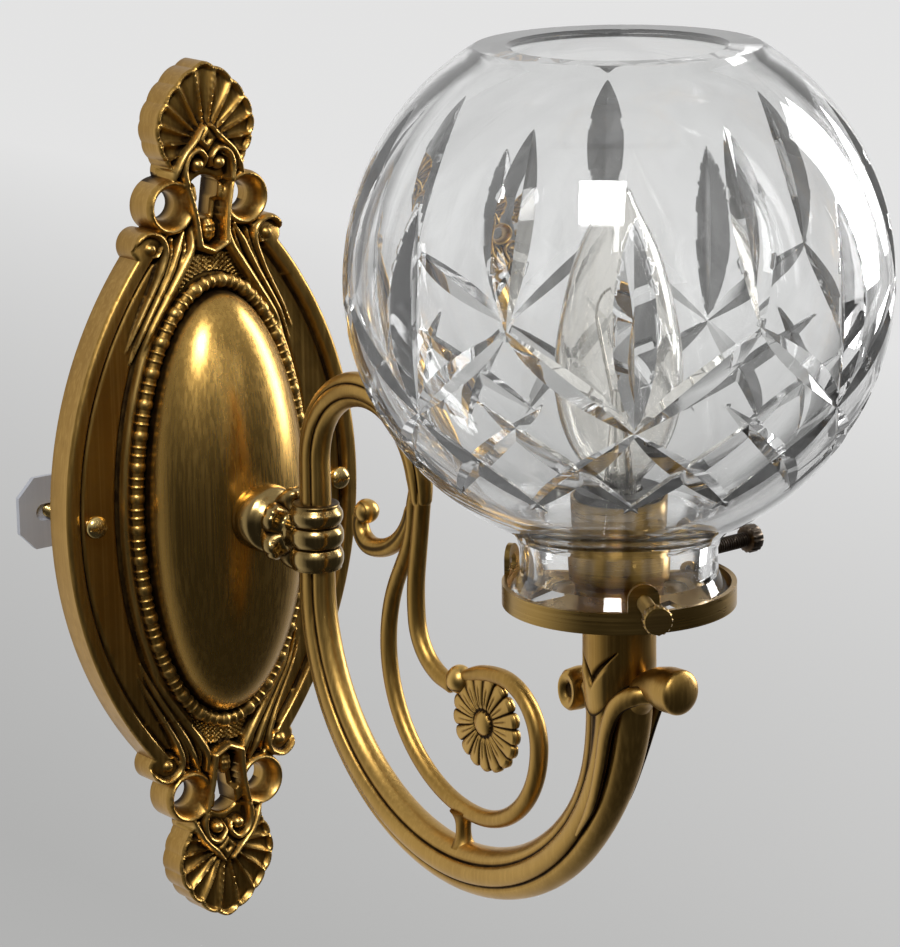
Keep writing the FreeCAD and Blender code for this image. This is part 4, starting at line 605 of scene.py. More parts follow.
def looped_piece(name, points, relief_and_shade, ring=False, ends=None, **placing):
    """A piece from rows of points, each row closed to a loop. A ring joins its last row to its
    first; ends are two places, where a tube's rows are drawn together."""
    relief_and_shade = relief_and_shade + np.zeros(points.shape[:2])
    if ends is not None:
        first, last = [np.broadcast_to(np.array(place, dtype=float), points[:1].shape) for place in ends]
        points = np.concatenate([first, points, last])
        relief_and_shade = np.concatenate([relief_and_shade[:1], relief_and_shade, relief_and_shade[-1:]])
    made_piece(name, points.reshape(-1, 3), grid_faces(*points.shape[:2], ring), relief_and_shade, **placing)


def oval_ring(half_x, half_z, count):
    """Points evenly spaced along an oval, by its summed chord length, and their outward normals."""
    turn = np.linspace(0, 2 * np.pi, 20001)
    line = np.stack([half_x * np.sin(turn), half_z * np.cos(turn)], axis=-1)
    length = np.concatenate([[0], np.cumsum(np.hypot(*np.diff(line, axis=0).T))])
    even = np.interp(np.linspace(0, length[-1], count, endpoint=False), length, turn)
    points = np.stack([half_x * np.sin(even), half_z * np.cos(even)], axis=-1)
    outward = np.stack([np.sin(even) / half_x, np.cos(even) / half_z], axis=-1)
    return points, outward / np.hypot(*outward.T)[:, None]


bead_rows = BEAD_SETS * BEAD_STEPS
bead_line, bead_out = oval_ring(*BEAD_OVAL, bead_rows)
phase = np.arange(bead_rows) / bead_rows * BEAD_SETS % 1
bead_size = np.maximum.reduce([radius * dome_of((phase - middle) / half) ** power
                               for radius, middle, half, power in BEADS])
bead_size = np.maximum(bead_size, BEAD_WIRE)[:, None]
around = full_turn(BEAD_COLUMNS)
out_part = bead_size * np.cos(around)
# Beads are marked raised and the wire between them low; the half of the ring that faces the wall is set low
# as painted shade.
looped_piece("bead_moulding",
             placed(bead_line[:, :1] + bead_out[:, :1] * out_part, BEAD_Y - bead_size * np.sin(around),
                    bead_line[:, 1:] + bead_out[:, 1:] * out_part),
             np.where(bead_size > 2.1, 0.30, -0.12) - 0.6 * (np.sin(around) < 0.15),
             ring=True, replaced=("bead_ring",), crease=60)


# Dome: spun from brass sheet, brushed up and down, with a rolled foot inside the bead moulding.
DOME_HALF = (27.8, 22.6, 65.6)
DOME_FOOT, DOME_WALL = -11.0, 1.0
DOME_ROWS, LINING_ROWS, DOME_COLUMNS = 60, 24, 160
satin = metal("brushed_brass", 0.07, Body=(0.51, 0.305, 0.080), Brown=(0.40, 0.220, 0.048), Gloss=0.27,
              Mottle=0.15)
rise = np.concatenate([np.linspace(0, 90, DOME_ROWS), np.linspace(90, 0, LINING_ROWS)])[:, None]
lift, spin = np.radians(rise), full_turn(DOME_COLUMNS)
half_x, half_y, half_z = [half - np.repeat([0, DOME_WALL], [DOME_ROWS, LINING_ROWS])[:, None]
                          for half in DOME_HALF]
# The rows towards the foot, inside the bead moulding, are set low: painted shade under the beads.
looped_piece("dome_shell",
             placed(half_x * np.sin(spin) * np.sin(lift), DOME_FOOT - half_y * np.cos(lift),
                    half_z * np.cos(spin) * np.sin(lift)),
             -0.6 * ease((rise - 76) / 8), finish=satin, replaced=("dome",))


# Hub: turned brass boss on the dome's crown, and a collar of cast petals behind the knuckle.
HUB_OUTLINE = ((0.0, -31.0), (9.4, -31.0), (10.2, -34.0), (10.3, -36.5), (9.6, -39.4), (7.6, -41.4),
               (6.6, -42.6), (6.6, -43.6), (8.4, -44.4), (11.4, -45.8), (12.6, -48.0), (12.0, -50.4),
               (9.6, -52.4), (7.4, -53.4), (6.8, -55.0), (6.8, -60.0), (0.0, -60.0))
HUB_COLUMNS = 144
soft_brass = metal("soft_brass", Bright=(0.52, 0.37, 0.15), Body=(0.27, 0.18, 0.066), Gloss=0.23)


def smooth_outline(corners):
    """Outline of (radius, height) through the corners with rounded runs, seven points to a run."""
    runs = len(corners) - 1
    return cubic_line(np.array(corners, dtype=float), np.linspace(0, runs, 7 * runs + 1), 0.8)


hub_line = smooth_outline(HUB_OUTLINE)
turn = full_turn(HUB_COLUMNS)
reach, depth = np.maximum(hub_line[:, :1], 0), hub_line[:, 1:]
petal = np.abs(np.cos(turn * 3)) ** 0.7
on_collar = ease((-44.0 - depth) / 1.5) * ease((depth + 54.0) / 1.5)
petal_vein = bell(np.abs((turn * 3 / np.pi + 0.5) % 1 - 0.5), 0.06)
reach = reach * (1 - 0.30 * on_collar * (1 - petal)) - 0.5 * on_collar * petal_vein
depth = depth - 2.2 * on_collar * petal * ease((reach - 8) / 4)
looped_piece("hub_and_petals", placed(reach * np.sin(turn), depth, reach * np.cos(turn)),
             0.3 - 0.7 * on_collar * (1 - petal) - 0.5 * bell(depth + 43.2, 1.0),
             finish=soft_brass, replaced=("hub",), crease=60)


# Knuckle: cast brass collar of three rings that joins hub, lower arm and crook.
KNUCKLE_Y = -60.8
KNUCKLE_OUTLINE = ((0.0, -9.9), (6.7, -9.9), (7.3, -9.3), (7.9, -7.6), (7.9, -5.4), (7.2, -3.7), (6.5, -3.2),
                   (7.3, -2.7), (8.0, -1.2), (8.0, 1.2), (7.3, 2.7), (6.5, 3.2), (7.2, 3.7), (7.9, 5.2),
                   (7.9, 7.0), (7.0, 8.6), (6.3, 9.9), (0.0, 9.9))


def turned_piece(name, line, centre, relief_and_shade, count=96, axis="z", **placing):
    """A turned piece: its outline of (radius, height) goes round an axis through the centre."""
    turn = full_turn(count)
    reach, along = line[:, :1], line[:, 1:]
    if axis == "z":
        points = placed(reach * np.sin(turn), reach * np.cos(turn), along)
    else:
        points = placed(along, reach * np.sin(turn), reach * np.cos(turn))
    looped_piece(name, points + np.array(centre, dtype=float), np.asarray(relief_and_shade)[:, None], **placing)


knuckle_line = smooth_outline(KNUCKLE_OUTLINE)
knuckle_reach = knuckle_line[:, 0]
turned_piece("knuckle_rings", knuckle_line, (0, KNUCKLE_Y, 0),
             0.35 * ease((knuckle_reach - 7.2) / 0.6) - 0.55 * ease((7.0 - knuckle_reach) / 0.4),
             finish=soft_brass, replaced=("knuckle",), crease=60)


# Arm: cast brass, hollow for the wires, bent down, out and up; two long grooves on each side.
def bent_line(start, heading, moves, step=0.9):
    """Centre line in the arm's plane, as (y, z), with its heading and the share of its length at
    each point. A move is a length and a turn spread over it in degrees. The heading is summed from
    the turns, and the place from short chords along the heading."""
    count = [max(2, int(round(length / step))) for length, turn in moves]
    each = np.concatenate([np.full(n, length / n) for n, (length, turn) in zip(count, moves)])
    swing = np.concatenate([np.full(n, math.radians(turn) / n) for n, (length, turn) in zip(count, moves)])
    ends = math.radians(heading) + np.concatenate([[0], np.cumsum(swing)])
    middle = (ends[1:] + ends[:-1]) / 2
    y = start[0] + np.concatenate([[0], np.cumsum(each * np.cos(middle))])
    z = start[1] + np.concatenate([[0], np.cumsum(each * np.sin(middle))])
    along = np.concatenate([[0], np.cumsum(each)])
    return np.stack([y, z], axis=-1), ends, along / along[-1]


def arc(radius, turn):
    """A move round part of a circle: its length is the radius times the turn."""
    return radius * math.radians(abs(turn)), turn


def carried_bar(name, line, heading, reach, relief_and_shade, **placing):
    """A bar carried along its centre line: reach[s, t] is the radius at place s and section turn t.
    t = 0 points to the left of the heading, in the arm's plane, and t = 90 degrees along X."""
    turn = full_turn(reach.shape[1])
    left = reach * np.cos(turn)
    points = placed(reach * np.sin(turn), line[:, :1] - np.sin(heading)[:, None] * left,
                    line[:, 1:] + np.cos(heading)[:, None] * left)
    looped_piece(name, points, relief_and_shade, ends=[(0, *line[0]), (0, *line[-1])], crease=70, **placing)


def lobed_section(turn):
    """Radius of the arm's section for a half height of 7.5: the farthest of four circles, one at
    each edge and one at each side; where two meet, a groove is cut."""
    reach = np.zeros_like(turn)
    for centre, radius in (((2.9, 0), 4.6), ((-2.9, 0), 4.6), ((0, 1.9), 4.2), ((0, -1.9), 4.2)):
        along = centre[0] * np.cos(turn) + centre[1] * np.sin(turn)
        far = along + np.sqrt(np.maximum(radius ** 2 - centre[0] ** 2 - centre[1] ** 2 + along ** 2, 0))
        reach = np.maximum(reach, far)
    groove = bell(np.degrees(np.arccos(np.abs(np.cos(turn)))) - 55, 4.5)
    return reach - 0.55 * groove, groove


ARM_COLUMNS = 72
section_turn = full_turn(ARM_COLUMNS)
arm_reach, arm_groove = lobed_section(section_turn)
arm_path, arm_heading, arm_share = bent_line((-60.8, -8.5), -90, [(6.0, 0), arc(68.2, -180), (1.0, 0)])
arm_path[:, 0] = np.clip(arm_path[:, 0], -198, 0)
arm_scale = np.interp(arm_share, (0, 0.12, 0.5, 1.0), (0.84, 0.88, 0.98, 1.02))[:, None]
arm_flare = ease((arm_share - 0.76) / 0.24)[:, None]
from_room = np.degrees(np.arccos(np.cos(section_turn)))
wall_groove = bell(from_room - 125 + 22 * arm_flare, 4.5 + 7 * arm_flare) * arm_flare
room_groove = bell(from_room - 55, 4.5 + 5 * arm_flare) * arm_flare
arm_surface = arm_scale * arm_reach * (1 + 0.36 * arm_flare ** 1.4) - 1.3 * wall_groove - 1.0 * room_groove
arm_marks = np.maximum(0.22 - 1.0 * arm_groove - 1.1 * wall_groove - 1.1 * room_groove, -0.8)
carried_bar("lower_arm", arm_path, arm_heading, arm_surface, arm_marks, replaced=("arm_tube",))


# Crook: the upper arm, cast in one with the stem of the scroll that hangs from its end.
crook_path, crook_heading, crook_share = bent_line((-60.8, 8.5), 90, [(14.0, 0), arc(25.3, 180), (5.0, 0)])
crook_scale = np.interp(crook_share, (0, 0.15, 0.5, 0.9, 0.97, 1.0), (0.74, 0.72, 0.68, 0.60, 0.50, 0.20))
carried_bar("crook_bar", crook_path, crook_heading, crook_scale[:, None] * arm_reach,
            0.22 - 1.0 * arm_groove, replaced=("arm_crook",))

STRAND_COLUMNS = 40


def strand(name, bend, shares, sizes, groove=0.0, **placing):
    """A round strand of the scroll along a bent line: its radius goes through the sizes at shares of
    its length, and it may have a shallow groove on each side."""
    path, heading, share = bend
    side_groove = bell(np.abs(np.sin(full_turn(STRAND_COLUMNS))) - 1, 0.05)
    reach = np.interp(share, shares, sizes)[:, None] * (1 - groove * side_groove)
    carried_bar(name, path, heading, reach, 0.12 - 0.5 * side_groove * (groove > 0), **placing)


strand("scroll_stem", bent_line((-112.9, 25.5), -82, [(25.0, 1), arc(60, -15), arc(17, -67), (5.5, 0)]),
       (0, 0.03, 0.5, 0.9, 0.99, 1), (1.6, 2.4, 2.6, 2.6, 2.2, 1.2))


# Scroll: cast brass strand that rises beside the stem, goes round the rosette and ends in a ball;
# a curl with a rounded end branches off it towards the wall, and a post stands on the arm.
SCROLL_FOOT = (-136.2, -66.2)
back_path, back_heading, _ = bent_line(
    SCROLL_FOOT, 0, [arc(41, 90), arc(46, 28), (8, 0), arc(30, -24), (9.5, 0)])
front_path, front_heading, _ = bent_line(SCROLL_FOOT, 180, [arc(27, -90), arc(16.5, -90), arc(36, -31)])
ring_path = np.concatenate([back_path[::-1], front_path[1:]])
ring_heading = np.concatenate([back_heading[::-1] + math.pi, front_heading[1:]])
strand("scroll_strand", (ring_path, ring_heading, np.linspace(0, 1, len(ring_path))),
       (0, 0.03, 0.2, 0.5, 0.8, 0.95, 1.0), (1.3, 2.1, 2.4, 2.5, 2.6, 2.3, 1.6), replaced=("scroll_ring",))
BALL_RADIUS = 4.0
ball_turn = np.linspace(0, np.pi, 28)
ball_line = np.stack([BALL_RADIUS * np.sin(ball_turn) * (1 - 0.10 * np.cos(ball_turn) ** 2),
                      -BALL_RADIUS * 1.05 * np.cos(ball_turn)], axis=-1)
ball_relief = 0.45 - 0.9 * bell(ball_turn - 0.9, 0.12)
turned_piece("scroll_ball", ball_line, (0, *ring_path[-1]), ball_relief, count=48)
curl = bent_line((-107.6, 19.0), -75, [(2.6, 0), arc(19, 75), arc(6, 90), arc(4, 80)])
strand("scroll_curl_strand", curl, (0, 0.05, 0.4, 0.7, 0.95, 1.0), (1.4, 2.1, 2.6, 2.9, 2.2, 1.0),
       groove=0.10, replaced=("scroll_curl",))
turned_piece("scroll_curl_ball", ball_line * 0.9, (0, *curl[0][-1]), ball_relief, count=48, axis="x")

POST_FOOT, POST_TALL = -77.2, 10.6
post_share = np.linspace(0, 1, 30)
post_line = np.stack([2.2 + 1.7 * np.abs(2 * post_share - 1) ** 2.6, POST_FOOT + POST_TALL * post_share],
                     axis=-1)
post_line = np.concatenate([[[0, POST_FOOT]], post_line, [[0, POST_FOOT + POST_TALL]]])
turned_piece("scroll_post_bar", post_line, (0, -129.0, 0), np.full(len(post_line), -0.05), count=40,
             replaced=("scroll_post",))


# Rosette: cast brass daisy inside the scroll, brazed to the strand; petals on both faces.
ROSETTE = (-140.2, -37.6)
ROSETTE_RADIUS, PETALS, PETAL_ROWS, PETAL_COLUMNS = 14.2, 17, 46, 14
share = np.linspace(0, 1, PETAL_ROWS)[:, None]
spin = full_turn(PETALS * PETAL_COLUMNS)
petal_phase = np.abs((spin * PETALS / (2 * np.pi)) % 1 - 0.5) * 2
petal_round = dome_of(petal_phase)
petal_reach = share * ROSETTE_RADIUS * (1 - 0.10 * (1 - petal_round))
petal_height = 1.15 + 0.75 * petal_round * ease((petal_reach - 3.4) / 2.5)
petal_height = petal_height - 0.55 * ease((petal_reach - 8) / 7)
rosette_boss = 1.2 + 1.7 * dome_of(petal_reach / 3.6)
petal_height = np.where(petal_reach < 3.6, np.maximum(rosette_boss, 1.4), petal_height)
vein = bell(petal_phase, 0.16) * ease((petal_reach - 4) / 2) * ease((11.5 - petal_reach) / 2)
petal_height = petal_height * (1 - 0.45 * ease((share - 0.93) / 0.07)) - 0.30 * vein
petal_relief = 0.3 - 1.1 * ease((petal_phase - 0.74) / 0.22) - 0.6 * vein
petal_relief = np.where(petal_reach < 3.4, 0.3, petal_relief)
petal_relief = np.where(np.abs(petal_reach - 3.9) < 0.5, -0.5, petal_relief)
front_face = placed(-petal_height, ROSETTE[0] + petal_reach * np.sin(spin),
                    ROSETTE[1] + petal_reach * np.cos(spin))
back_face = front_face * np.array([-1, 1, 1])
looped_piece("rosette_petals", np.concatenate([front_face, back_face[::-1]]),
             np.concatenate([petal_relief, petal_relief[::-1]]), replaced=("rosette",), crease=75)


# Leaf cup: cast brass sleeve at the arm's end, wrapped in acanthus whose tips roll out both ways.
AXIS_Y = -197.2
CUP_ROWS, CUP_COLUMNS, CUP_TOP = 90, 144, 10.4
share = np.linspace(0, 1, CUP_ROWS)[:, None]
spin = full_turn(CUP_COLUMNS)
cup_foot = -10.5 - 9.0 * np.abs(np.sin(spin)) ** 4
cup_height = cup_foot + (CUP_TOP - cup_foot) * share
from_side = np.degrees(np.arccos(np.abs(np.sin(spin))))
vee_line = -9.6 + 8.0 * (from_side / 42) ** 0.8
vee = bell(cup_height - vee_line, 0.95 * np.clip(1.15 - from_side / 46, 0.05, 1)) * (from_side < 46)
under_vee = ease((vee_line - 1.2 - cup_height) / 1.5) * ease((34 - from_side) / 10)
cup_reach = 9.1 + 0.7 * ease(share / 0.35) + 0.25 * bell(share - 0.98, 0.02) - 1.1 * vee + 0.45 * under_vee
looped_piece("leaf_sleeve", placed(cup_reach * np.sin(spin), AXIS_Y + cup_reach * np.cos(spin), cup_height),
             0.10 - 1.0 * vee + 0.18 * under_vee - 0.9 * bell(share, 0.035),
             ends=[(0, AXIS_Y, cup_height[row, 0]) for row in (0, -1)], replaced=("leaf_cup",), crease=65)

LEAF_COLUMNS = 48
tip_path, tip_heading, tip_share = bent_line((-203.0, -17.0), 128, [(4.0, 0), arc(12, 50), (9.6, 0)], 0.4)
tip_end = 6.1 * np.sqrt(np.maximum(1 - ((tip_share - 0.88) / 0.121) ** 2, 0.01))
tip_size = np.where(tip_share > 0.88, tip_end, 4.4 + 1.7 * ease((tip_share - 0.35) / 0.40))
carried_bar("leaf_tip_room", tip_path, tip_heading, np.repeat(tip_size[:, None], LEAF_COLUMNS, axis=1), 0.20)

RIDGE_CORNERS = ((2.5, -212.5, -11.5), (5.4, -208.6, -12.2), (7.6, -204.4, -15.8), (7.9, -201.0, -23),
                 (7.0, -197.2, -35), (6.2, -192.6, -46.5), (5.4, -185.5, -57))
RIDGE_SIZES = (2.2, 2.7, 2.5, 2.2, 1.9, 1.6, 0.5)
RIDGE_COLUMNS, RIDGE_FLAT = 28, 0.75


def leaf_ridge(name, mirror):
    """A leaf's raised edge: a strand on a smooth line through corners in space. Its section is an
    oval across the line, flattened sideways, with a dark crease along each flat side."""
    corners = np.array(RIDGE_CORNERS) * (mirror, 1, 1)
    places = np.linspace(0, len(corners) - 1, 16 * len(corners))
    line = cubic_line(corners, places)
    along = np.gradient(line, axis=0)
    along /= np.linalg.norm(along, axis=1, keepdims=True)
    sideways = np.array([1.0, 0, 0]) - along[:, :1] * along
    sideways /= np.linalg.norm(sideways, axis=1, keepdims=True)
    third = np.cross(along, sideways)
    size_at = np.interp(places, np.arange(len(RIDGE_SIZES)), RIDGE_SIZES)[:, None, None]
    turn = full_turn(RIDGE_COLUMNS)[:, None]
    section = RIDGE_FLAT * np.cos(turn) * sideways[:, None] + np.sin(turn) * third[:, None]
    looped_piece(name, line[:, None] + size_at * section, 0.25 - 0.95 * (np.abs(np.cos(turn[:, 0])) < 0.28),
                 ends=line[[0, -1]], crease=70)


leaf_ridge("leaf_ridge_left", -1)
leaf_ridge("leaf_ridge_right", 1)
wall_path, wall_heading, wall_share = bent_line((-191.5, -31.0), 80, [(12.0, -4), arc(9, -50)], 0.5)
wall_size = np.interp(wall_share, (0, 0.2, 0.6, 0.9, 1.0), (1.6, 3.4, 4.2, 3.6, 1.4))
carried_bar("leaf_back_wall", wall_path, wall_heading, np.repeat(wall_size[:, None], LEAF_COLUMNS, axis=1),
            0.15)
ROLL_LINE = np.array([(0, -3.0), (1.7, -3.0), (2.3, -3.6), (3.4, -4.5), (4.6, -4.5), (5.5, -3.4), (5.8, 0),
                      (5.5, 3.4), (4.6, 4.5), (3.4, 4.5), (2.3, 3.6), (1.7, 3.0), (0, 3.0)])
roll_turn = full_turn(56)
looped_piece("leaf_roll_wall",
             placed(ROLL_LINE[:, 1:], -180.2 + 0.72 * ROLL_LINE[:, :1] * np.sin(roll_turn),
                    -17.6 + 1.05 * ROLL_LINE[:, :1] * np.cos(roll_turn)),
             np.where(ROLL_LINE[:, :1] < 2.0, -0.7, 0.3), crease=50)


# Fittings that the frame already shapes well take their finishes here: turned brass holder and
# socket cup, zinc plated crossbar and nuts, the clamp behind the dome, the socket's black moulding,
# the lamp's clear glass, and the covered wires with their orange connectors.
polished = metal("polished_brass", 0.03, Bright=(0.92, 0.74, 0.36), Body=(0.80, 0.58, 0.22),
                 Brown=(0.55, 0.36, 0.12), Patina=(0.20, 0.12, 0.05), Depth=0.6, Gloss=0.16)
lathe_brass = metal("lathe_turned_brass", 0.10, Bright=(0.70, 0.48, 0.17), Body=(0.36, 0.225, 0.065),
                    Brown=(0.22, 0.13, 0.036), Patina=(0.06, 0.04, 0.02), Gloss=0.30, Mottle=0.3, Turned=1.0)
bronze = metal("dark_bronze", 0.08, Bright=(0.30, 0.24, 0.17), Body=(0.11, 0.085, 0.065),
               Brown=(0.07, 0.05, 0.035), Patina=(0.02, 0.015, 0.012), Gloss=0.36)
zinc = metal("zinc_steel", 0.05, 0.45, Bright=(0.72, 0.73, 0.77), Body=(0.58, 0.60, 0.65),
             Brown=(0.44, 0.46, 0.51), Patina=(0.20, 0.20, 0.20), Depth=0.3, Gloss=0.48)
bright_wire = metal("bright_wire", 0.02, Bright=(0.85, 0.84, 0.80), Body=(0.66, 0.64, 0.60),
                    Brown=(0.45, 0.43, 0.40), Patina=(0.2, 0.2, 0.2), Depth=0.4, Gloss=0.22)

moulded_surface, given, put = surface_group(
    "moulded_surface", {"Tone": (0.03, 0.03, 0.03), "Shade": (0.02, 0.02, 0.02), "Gloss": 0.4})
spot = add(moulded_surface, "ShaderNodeTexCoord").outputs["Object"]
large, fine = clouds(spot, 60.0, 3.0), clouds(spot, 1400.0, 4.0)
feed(tinted(between(large, 0.35, 0.7), given["Tone"], given["Shade"]), put["Color"])
feed(sums("ADD", given["Gloss"], between(fine, 0.3, 0.7, -0.05, 0.08)), put["Roughness"])
feed(fine, put["Height"])
phenolic, black_cover, white_cover, orange, green = [
    solid_finish(name, moulded_surface, {"Tone": tone, "Shade": shade, "Gloss": gloss}, 0.08, metallic)
    for name, tone, shade, gloss, metallic in (
        ("black_phenolic", (0.035, 0.032, 0.03), (0.02, 0.018, 0.017), 0.38, 0.0),
        ("black_insulation", (0.022, 0.022, 0.022), (0.014, 0.014, 0.014), 0.5, 0.0),
        ("white_insulation", (0.80, 0.79, 0.75), (0.68, 0.66, 0.61), 0.5, 0.0),
        ("orange_plastic", (0.75, 0.27, 0.05), (0.62, 0.20, 0.03), 0.3, 0.0),
        ("green_steel", (0.05, 0.30, 0.11), (0.03, 0.22, 0.08), 0.3, 0.5))]


def glassy(name, tone, uneven_scale, bump, gloss, ior, straight):
    """Clear glass, a little uneven from soft noise; a share of the light goes straight through it."""
    made = bpy.data.materials.new(name)
    tree = cleared_tree(made)
    wave = clouds(add(tree, "ShaderNodeTexCoord").outputs["Object"], uneven_scale, 2.0)
    clear = tuple(min(1.0, value * 1.015) for value in tone)
    shader = add(tree, "ShaderNodeBsdfPrincipled", (
        ("Transmission Weight", 1.0), ("IOR", ior), ("Base Color", tinted(wave, tone, clear)),
        ("Roughness", between(wave, 0.3, 0.7, gloss * 0.6, gloss * 1.4)),
        ("Normal", bumped(wave, bump, 0.0004))))
    mixed_surface(tree, straight, shader, add(tree, "ShaderNodeBsdfTransparent", (("Color", clear),)))
    return made


lamp_clear = glassy("lamp_glass", (0.985, 0.975, 0.95), 60.0, 0.03, 0.006, 1.50, 0.06)
FINISHES = {
    antique: ("dome_strap", "hub_nut", "end_nut"),
    lathe_brass: ("holder", "socket_cup"),
    polished: ("hub_nipple", "end_nipple", "socket_shell", "socket_contact"),
    zinc: ("crossbar", "bar_nuts", "hub_washer"),
    green: ("ground_screw",),
    bright_wire: ("lamp_cap", "lamp_wires"),
    phenolic: ("lamp_tip", "socket_insulator"),
    black_cover: ("wire_live",),
    white_cover: ("wire_neutral",),
    orange: ("wire_connectors",),
    lamp_clear: ("lamp_glass", "lamp_mount"),
}
for finish, names in FINISHES.items():
    for node_name in names:
        for place_for in nodes[node_name].material_slots:
            place_for.material = finish


# Screws: two thumb screws with knurled heads in the holder's tabs, one of brass and one of dark
# bronze, and two long slotted screws of polished brass that hold the plate to its crossbar.
THREAD_PITCH, THREAD_DEPTH, THREAD_RADIUS = 0.85, 0.16, 2.08
SCREW_COLUMNS, FOOT_RADIUS, SLOT_DEPTH = 64, 1.5, 1.1


def screw(name, thread_from, thread_long, head, place, direction, finish, body, replaced, knurls,
          slot_half):
    """A turned screw along a level direction: flat foot, thread, and a head given as (radius,
    distance along) goes round it. The thread's radius is a cosine along it, with eight points to a
    turn. Knurls are cut in the widest part, and a driver slot is sunk into the head's top."""
    swing = np.linspace(thread_from, thread_from + thread_long, int(thread_long / THREAD_PITCH * 8) + 1)
    swing_radius = THREAD_RADIUS - THREAD_DEPTH * (1 - np.cos(2 * np.pi * swing / THREAD_PITCH))
    outline = np.concatenate([[(0, thread_from - 0.5), (FOOT_RADIUS, thread_from - 0.5)],
                              np.stack([swing_radius, swing], axis=-1), head])
    turn = full_turn(SCREW_COLUMNS)
    reach, along = outline[:, :1] + 0 * turn, outline[:, 1:] + 0 * turn
    widest, top = outline.max(axis=0)
    if knurls:
        reach = reach * (1 - 0.075 * (np.arange(SCREW_COLUMNS) % 4 > 1) * (reach > widest - 0.3))
    up = reach * np.cos(turn)
    if slot_half:
        along = np.where((np.abs(up) < slot_half) & (along > top - SLOT_DEPTH), top - SLOT_DEPTH, along)
    across = reach * np.sin(turn)
    points = placed(place[0] + along * direction[0] + across * direction[1],
                    place[1] + along * direction[1] - across * direction[0], place[2] + up)
    looped_piece(name, points, np.where(reach < widest - 0.5, -0.25, 0.1), finish=finish, body=body,
                 replaced=replaced, crease=40)


THUMB_HEAD = [(2.3, 15.5), (3.4, 15.7), (3.85, 16.1), (3.85, 18.8), (3.5, 19.2), (2.7, 19.3), (0, 19.2)]
for letter, finish, angle, tip in (("a", lathe_brass, -118.5, 28.8), ("b", bronze, 1.5, 30.2)):
    direction = (math.cos(math.radians(angle)), math.sin(math.radians(angle)))
    screw("thumb_" + letter, 0.5, 14.9, THUMB_HEAD,
          (tip * direction[0], AXIS_Y + tip * direction[1], 18.8), direction, finish,
          "thumb_screw_" + letter, ("thumb_screw_" + letter,), True, 0.0)
PLATE_SCREW_ACROSS = 44.45
head_turn = np.linspace(0, np.pi / 2, 26)
head_line = np.stack([3.6 * np.cos(head_turn), 0.3 + 2.3 * np.sin(head_turn)], axis=-1)
for screw_name, screw_across, replaced in (("plate_screw_left", -PLATE_SCREW_ACROSS, ("plate_screws",)),
                                           ("plate_screw_right", PLATE_SCREW_ACROSS, ())):
    screw(screw_name, -37.6, 37.4, np.concatenate([[(3.6, 0)], head_line]), (screw_across, -11.4, 0),
          (0.0, -1.0), polished, "sconce", replaced, False, 0.45)


# Globe: blown crystal, cut with tall leaves over a band of crossed grooves; its mouth is ground.
GLOBE_CENTRE, GLOBE_RADIUS, GLOBE_INSIDE = 97.0, 71.3, 66.7
LEAF_PAIRS = 7
FIRST_LEAF = math.radians(-127.2)
CELLS = 19
LEAF_CELLS = LEAF_PAIRS * 4
CUT_COLUMNS = LEAF_CELLS * CELLS
CELL_TURN, CELL_FALL = 360 / LEAF_CELLS, 10.5
BAND_TOP = 0.6
DEEPEST, CUT_SLOPE = 3.1, 0.50
CUTS = ((0.0, 0.0, -2.15, 2.02, 2.75, (0,)), (2.0, 0.0, -3.95, 0.04, 2.65, (0,)),
        (2.0, 0.0, -0.05, 2.05, 1.75, (1, -1)), (0.0, 2.0, 1.92, 4.22, 1.60, (1, -1)),
        (2.0, 2.0, 1.42, 4.18, 1.45, (1, -1)))
crystal = glassy("crystal", (0.985, 0.992, 0.988), 45.0, 0.02, 0.004, 1.53, 0.04)


def cut_depth(across_cells, down_cells):
    """Depth of the cutting in mm; places count cells of the diamond lattice, sideways from a low
    leaf and down from the foot of the high leaves. Each cut is a groove along an upright or leaning
    line: D (1 - t squared), t going from -1 to 1 along it, less the slope times the distance."""
    lat = np.radians(BAND_TOP - CELL_FALL * down_cells)
    side_step = math.radians(CELL_TURN) * GLOBE_RADIUS * np.cos(lat)
    fall_step = math.radians(CELL_FALL) * GLOBE_RADIUS
    tilt = fall_step / np.hypot(fall_step, side_step)
    depth = np.full(across_cells.shape, -9.0)
    for start, foot, high, low, deep, leans in CUTS:
        along = (down_cells - (high + low) / 2) / ((low - high) / 2)
        for lean in leans:
            gap = (across_cells - lean * (down_cells - foot) - start + 2) % 4 - 2
            away = np.abs(gap) * side_step * (tilt if lean else 1.0)
            depth = np.maximum(depth, deep * (1 - along ** 2) - CUT_SLOPE * away)
    return depth


def on_ball(radius, degrees):
    """(distance from the axis, height) of places on a ball about the globe's centre."""
    angle = np.radians(degrees)
    return np.stack([radius * np.cos(angle), GLOBE_CENTRE + radius * np.sin(angle)], axis=-1)


def cell_corners(values, wrap=0):
    """The four corners' values of each cell; the last column goes on to the first one plus wrap."""
    wide = np.concatenate([values, values[:, :1] + wrap], axis=1)
    return wide[:-1, :-1], wide[1:, :-1], wide[:-1, 1:], wide[1:, 1:]


